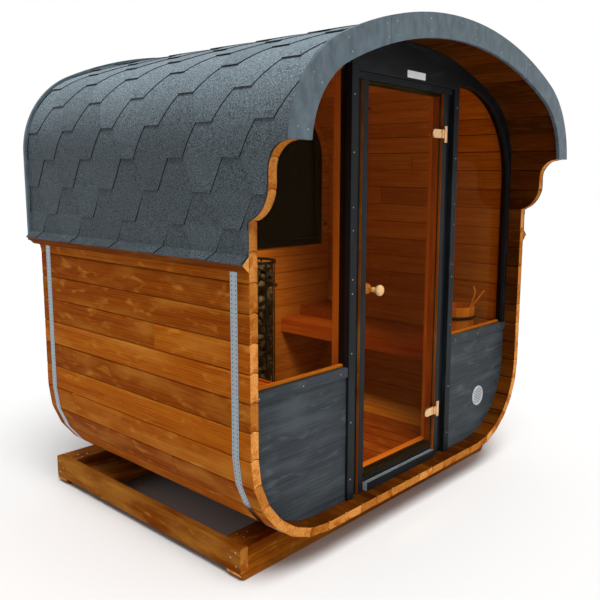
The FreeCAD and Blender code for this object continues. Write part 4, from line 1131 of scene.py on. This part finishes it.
def makeStones():
    ball = bmesh.new()
    bmesh.ops.create_icosphere(ball, subdivisions=3, radius=1.0)
    template = ([v.co.copy() for v in ball.verts], [[v.index for v in f.verts] for f in ball.faces])
    ball.free()
    low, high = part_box("stove_stones")
    centre = (low + high) / 2
    size, around = stones["size"], stones["around"]
    shape = newShape()
    z = low.z + size * 0.9
    row = 0
    while z < high.z - size * 0.5:
        for k in range(around):
            turn = 2 * math.pi * (k + 0.5 * (row % 2) + chance.uniform(-0.15, 0.15)) / around
            reach = stones["radius"] + chance.uniform(-0.010, 0.004)
            place = aroundAxis(centre, turn, reach, z + chance.uniform(-0.006, 0.006))
            addStone(shape, template, place, size * chance.uniform(0.85, 1.12))
        z += stones["rowHeight"]
        row += 1
    for reach, count in stones["topRings"]:
        for k in range(count):
            turn = 2 * math.pi * (k + chance.uniform(-0.2, 0.2)) / count
            place = aroundAxis(centre, turn, reach, high.z - stones["topDrop"] - reach * stones["dome"])
            addStone(shape, template, place, size * chance.uniform(0.85, 1.1))
    makePiece("olivine_stones", shape, [olivine], 25, ["stove_stones"])


makeStones()
print("stones heaped")

pail = {"staves": 16, "bottom": 0.112, "top": 0.124, "height": 0.202, "wall": 0.012, "ease": 0.0012,
        "floorZ": 0.015, "floorTop": 0.029, "hoopTop": 0.146, "hoopHeight": 0.022, "hoopThickness": 0.0018,
        "hoopSag": 0.0004, "across": ((-0.985, 0.0012), (-0.94, 0.0002), (0.0, 0.0), (0.94, 0.0002),
                                      (0.985, 0.0012))}


def pailRadius(height, inset):
    return pail["bottom"] + (pail["top"] - pail["bottom"]) * height / pail["height"] - inset


def makePail():
    low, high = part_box("bucket")
    centre = Vector(((low.x + high.x) / 2, (low.y + high.y) / 2, low.z))
    tall, ease, count = pail["height"], pail["ease"], len(pail["across"])
    half = math.pi / pail["staves"]
    shape = newShape()
    for i in range(pail["staves"]):
        sine, cosine = math.sin(2 * half * i), math.cos(2 * half * i)
        tone = chance.random()
        offset = chance.uniform(0, 30)
        first = len(shape["points"])
        for height, rim in ((0.0, ease), (ease, 0.0), (tall - ease, 0.0), (tall, ease)):
            for share, drop in pail["across"]:
                for inset, fall in ((0.0, rim + drop), (pail["wall"], -rim)):
                    out = pailRadius(height, inset) * math.cos(half) - fall
                    across = pailRadius(height, inset) * math.sin(half) * share
                    place = Vector((out * cosine - across * sine, out * sine + across * cosine, height))
                    addPoint(shape, centre + place, (height + offset, across + 0.1, inset + 0.05), tone)
        joinBoard(shape, first, count, (0, 0, 0))
        last = first + 6 * count
        for k in range(0, 2 * count - 2, 2):
            addFaces(shape, [(0, 1, 3, 2)], 0, first + k)
            addFaces(shape, [(0, 2, 3, 1)], 0, last + k)
    floorZ, floorTop = pail["floorZ"], pail["floorTop"]
    inner = pailRadius(floorTop, pail["wall"]) * math.cos(half)
    addTurned(shape, [(0, floorZ), (inner, floorZ), (inner, floorTop), (0, floorTop)], centre,
              (0, 0, 1), 32)
    hoopTop, sag, thick = pail["hoopTop"], pail["hoopSag"], pail["hoopThickness"]
    hoopLow = hoopTop - pail["hoopHeight"]
    addTurned(shape, [(pailRadius(hoopLow, sag), hoopLow), (pailRadius(hoopLow, -thick), hoopLow + 0.0006),
                      (pailRadius(hoopTop, -thick), hoopTop - 0.0006), (pailRadius(hoopTop, sag), hoopTop)],
              centre, (0, 0, 1), 48, 1)
    makePiece("stave_bucket", shape, [bucketWood, hoopSteel], 35, ["bucket"])


makePail()

handle = {"rise": math.radians(55), "turn": math.radians(-64), "length": 0.275, "thickness": 0.009,
          "rivets": (0.118, 0.150, 0.182, 0.205, 0.236), "rivetOffset": 0.0095, "rivetRadius": 0.0028,
          "tipReach": 0.012}


def makeRivets():
    # Rivets on the underside of the handle, which is the face seen from the door
    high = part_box("ladle")[1]
    rise, turn, radius = handle["rise"], handle["turn"], handle["rivetRadius"]
    ahead = Vector((math.cos(rise) * math.cos(turn), math.cos(rise) * math.sin(turn), math.sin(rise)))
    aside = Vector((-math.sin(turn), math.cos(turn), 0))
    under = ahead.cross(aside)
    under = under if under.z < 0 else -under
    corners = [v.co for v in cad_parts["ladle"].data.vertices if v.co.z > high.z - handle["tipReach"]]
    tip = sum(corners, Vector()) / len(corners)
    shape = newShape()
    for place in handle["rivets"]:
        spot = tip - ahead * (handle["length"] - place) + aside * handle["rivetOffset"]
        addTurned(shape, [(radius, -0.0004), (radius * 0.85, 0.0006), (radius * 0.4, 0.0010), (0, 0.0011)],
                  spot + under * (handle["thickness"] / 2), under, 14)
    makePiece("handle_rivets", shape, [plateEnamel], 40)


makeRivets()

dipper = {"points": ((0.935, -0.418, 0.775), (0.962, -0.445, 0.860), (0.986, -0.470, 0.945),
                     (0.998, -0.483, 1.000), (1.000, -0.486, 1.035), (0.990, -0.478, 1.064)),
          "radii": (0.0050, 0.0050, 0.0052, 0.0060, 0.0068, 0.0040), "flatness": 0.6, "sides": 12,
          "flatTowards": (0.4, 0.9, 0.1)}


def makeDipper():
    shape = newShape()
    points = [Vector(p) for p in dipper["points"]]
    rings = []
    for i, p in enumerate(points):
        ahead = (points[min(i + 1, len(points) - 1)] - points[max(i - 1, 0)]).normalized()
        across = ahead.cross(Vector(dipper["flatTowards"])).normalized()
        up = ahead.cross(across) * dipper["flatness"]
        ring = []
        for k in range(dipper["sides"]):
            turn = 2 * math.pi * k / dipper["sides"]
            u, v = math.cos(turn), math.sin(turn)
            place = p + (across * u + up * v) * dipper["radii"][i]
            ring.append(addPoint(shape, place, (i * 0.05, u * 0.01, v * 0.01), 0.8))
        rings.append(ring)
    joinRings(shape, rings)
    addFaces(shape, [rings[-1], rings[0][::-1]])
    makePiece("dipper_handle", shape, [bucketWood], 60)


makeDipper()
print("bucket and handles made")

tread = {"pitch": 0.0055, "width": 0.0028, "rise": 0.0007, "foot": -0.0002, "from": -0.6665, "to": -0.6580,
         "top": 0.045, "inset": 0.003}


def makeTreadRibs():
    # Fine cross ribs rolled into the aluminium tread
    low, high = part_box("threshold")
    rise, width, foot = tread["rise"], tread["width"], tread["foot"]
    shape = newShape()
    for k in range(int((high.x - low.x - 2 * tread["inset"]) / tread["pitch"])):
        x = low.x + tread["inset"] + k * tread["pitch"]
        first = len(shape["points"])
        for y in (tread["from"], tread["to"]):
            for dx, dz in ((0.0, foot), (rise, rise), (width - rise, rise), (width, foot)):
                addPoint(shape, (x + dx, y, low.z + tread["top"] + dz), (x, y, dz))
        addFaces(shape, blockFaces, 0, first)
    makePiece("tread_ribs", shape, [sillMetal], 30)


makeTreadRibs()
print("tread ribs made")


# Studio and camera

studio = {"reach": 60.0, "paper": "E4E4E3", "sky": "F4F6F8", "skyLevel": 0.34,
          "insideWatts": 27, "insideSize": (0.7, 0.35), "insideSpread": 95, "insideTint": (1.0, 0.90, 0.78),
          "insidePlace": (-0.28, 0.16, 2.10), "insideAim": (0.10, -0.34, 1.0),
          "suns": {"key": ((-0.26, -0.42, 1.0), 30, 2.9), "top": ((0.0, -0.1, 1.0), 40, 0.5),
                   "fill": ((0.75, -0.85, 0.45), 60, 0.42)}}
view = {"yaw": 50.432, "pitch": -8.485, "roll": 0.852, "lens": 42.32, "shift": (-0.1040, -0.0235),
        "place": (-2.8563, -2.7467, 1.7109)}


def addLamp(name, kind, aim, power):
    lamp = bpy.data.lights.new(name, kind)
    lamp.energy = power
    thing = addThing(name, lamp)
    thing.rotation_euler = Vector(aim).to_track_quat("Z", "Y").to_euler()
    thing.visible_glossy = False
    return thing, lamp


def makeStudio():
    reach = studio["reach"]
    floorMesh = bpy.data.meshes.new("studio_floor")
    corners = [(-reach, -reach, 0), (reach, -reach, 0), (reach, reach, 0), (-reach, reach, 0)]
    floorMesh.from_pydata(corners, [], [(0, 1, 2, 3)])
    floor = addThing("studio_floor", floorMesh)
    paper, node = startMaterial("Pale studio paper, matt")
    surface = node("BsdfPrincipled", {"Base Color": studio["paper"], "Roughness": 0.95,
                                      "Specular IOR Level": 0.1})
    node("OutputMaterial", [surface])
    floorMesh.materials.append(paper)
    # The world lights softly, and shows plain white to the camera, to metal and through glass
    world = bpy.data.worlds.new("studio")
    bpy.context.scene.world = world
    world.use_nodes = True
    world.node_tree.nodes.clear()
    node = functools.partial(addNode, world.node_tree)
    seen = node("LightPath", out="Is Camera Ray")
    rays = seen.node.outputs
    for kind in ("Is Glossy Ray", "Is Transmission Ray"):
        seen = node("Math", [seen, rays[kind]], operation="MAXIMUM")
    soft = node("Background", [studio["sky"], studio["skyLevel"]])
    white = node("Background", ["FFFFFF", 1.0])
    node("OutputWorld", [node("MixShader", [seen, soft, white])])
    thing, lamp = addLamp("inside", "AREA", studio["insideAim"], studio["insideWatts"])
    lamp.shape = "RECTANGLE"
    lamp.size, lamp.size_y = studio["insideSize"]
    lamp.spread = math.radians(studio["insideSpread"])
    lamp.color = studio["insideTint"]
    thing.location = studio["insidePlace"]
    thing.visible_camera = False
    thing.visible_transmission = False
    for name, (aim, width, power) in studio["suns"].items():
        addLamp(name, "SUN", aim, power)[1].angle = math.radians(width)


def makeCamera():
    yaw, pitch, roll = [math.radians(view[key]) for key in ("yaw", "pitch", "roll")]
    ahead = Vector((math.sin(yaw) * math.cos(pitch), math.cos(yaw) * math.cos(pitch), math.sin(pitch)))
    level = ahead.cross(Vector((0, 0, 1))).normalized()
    down = -level.cross(ahead)
    right = level * math.cos(roll) - down * math.sin(roll)
    under = down * math.cos(roll) + level * math.sin(roll)
    lens = bpy.data.cameras.new("photo_camera")
    lens.lens = view["lens"]
    lens.sensor_width = 36.0
    lens.shift_x, lens.shift_y = view["shift"]
    camera = addThing("photo_camera", lens)
    turn = Matrix((right, -under, -ahead)).transposed()
    camera.matrix_world = Matrix.Translation(view["place"]) @ turn.to_4x4()
    bpy.context.scene.camera = camera


makeStudio()
makeCamera()
bpy.context.scene.view_settings.view_transform = "Standard"
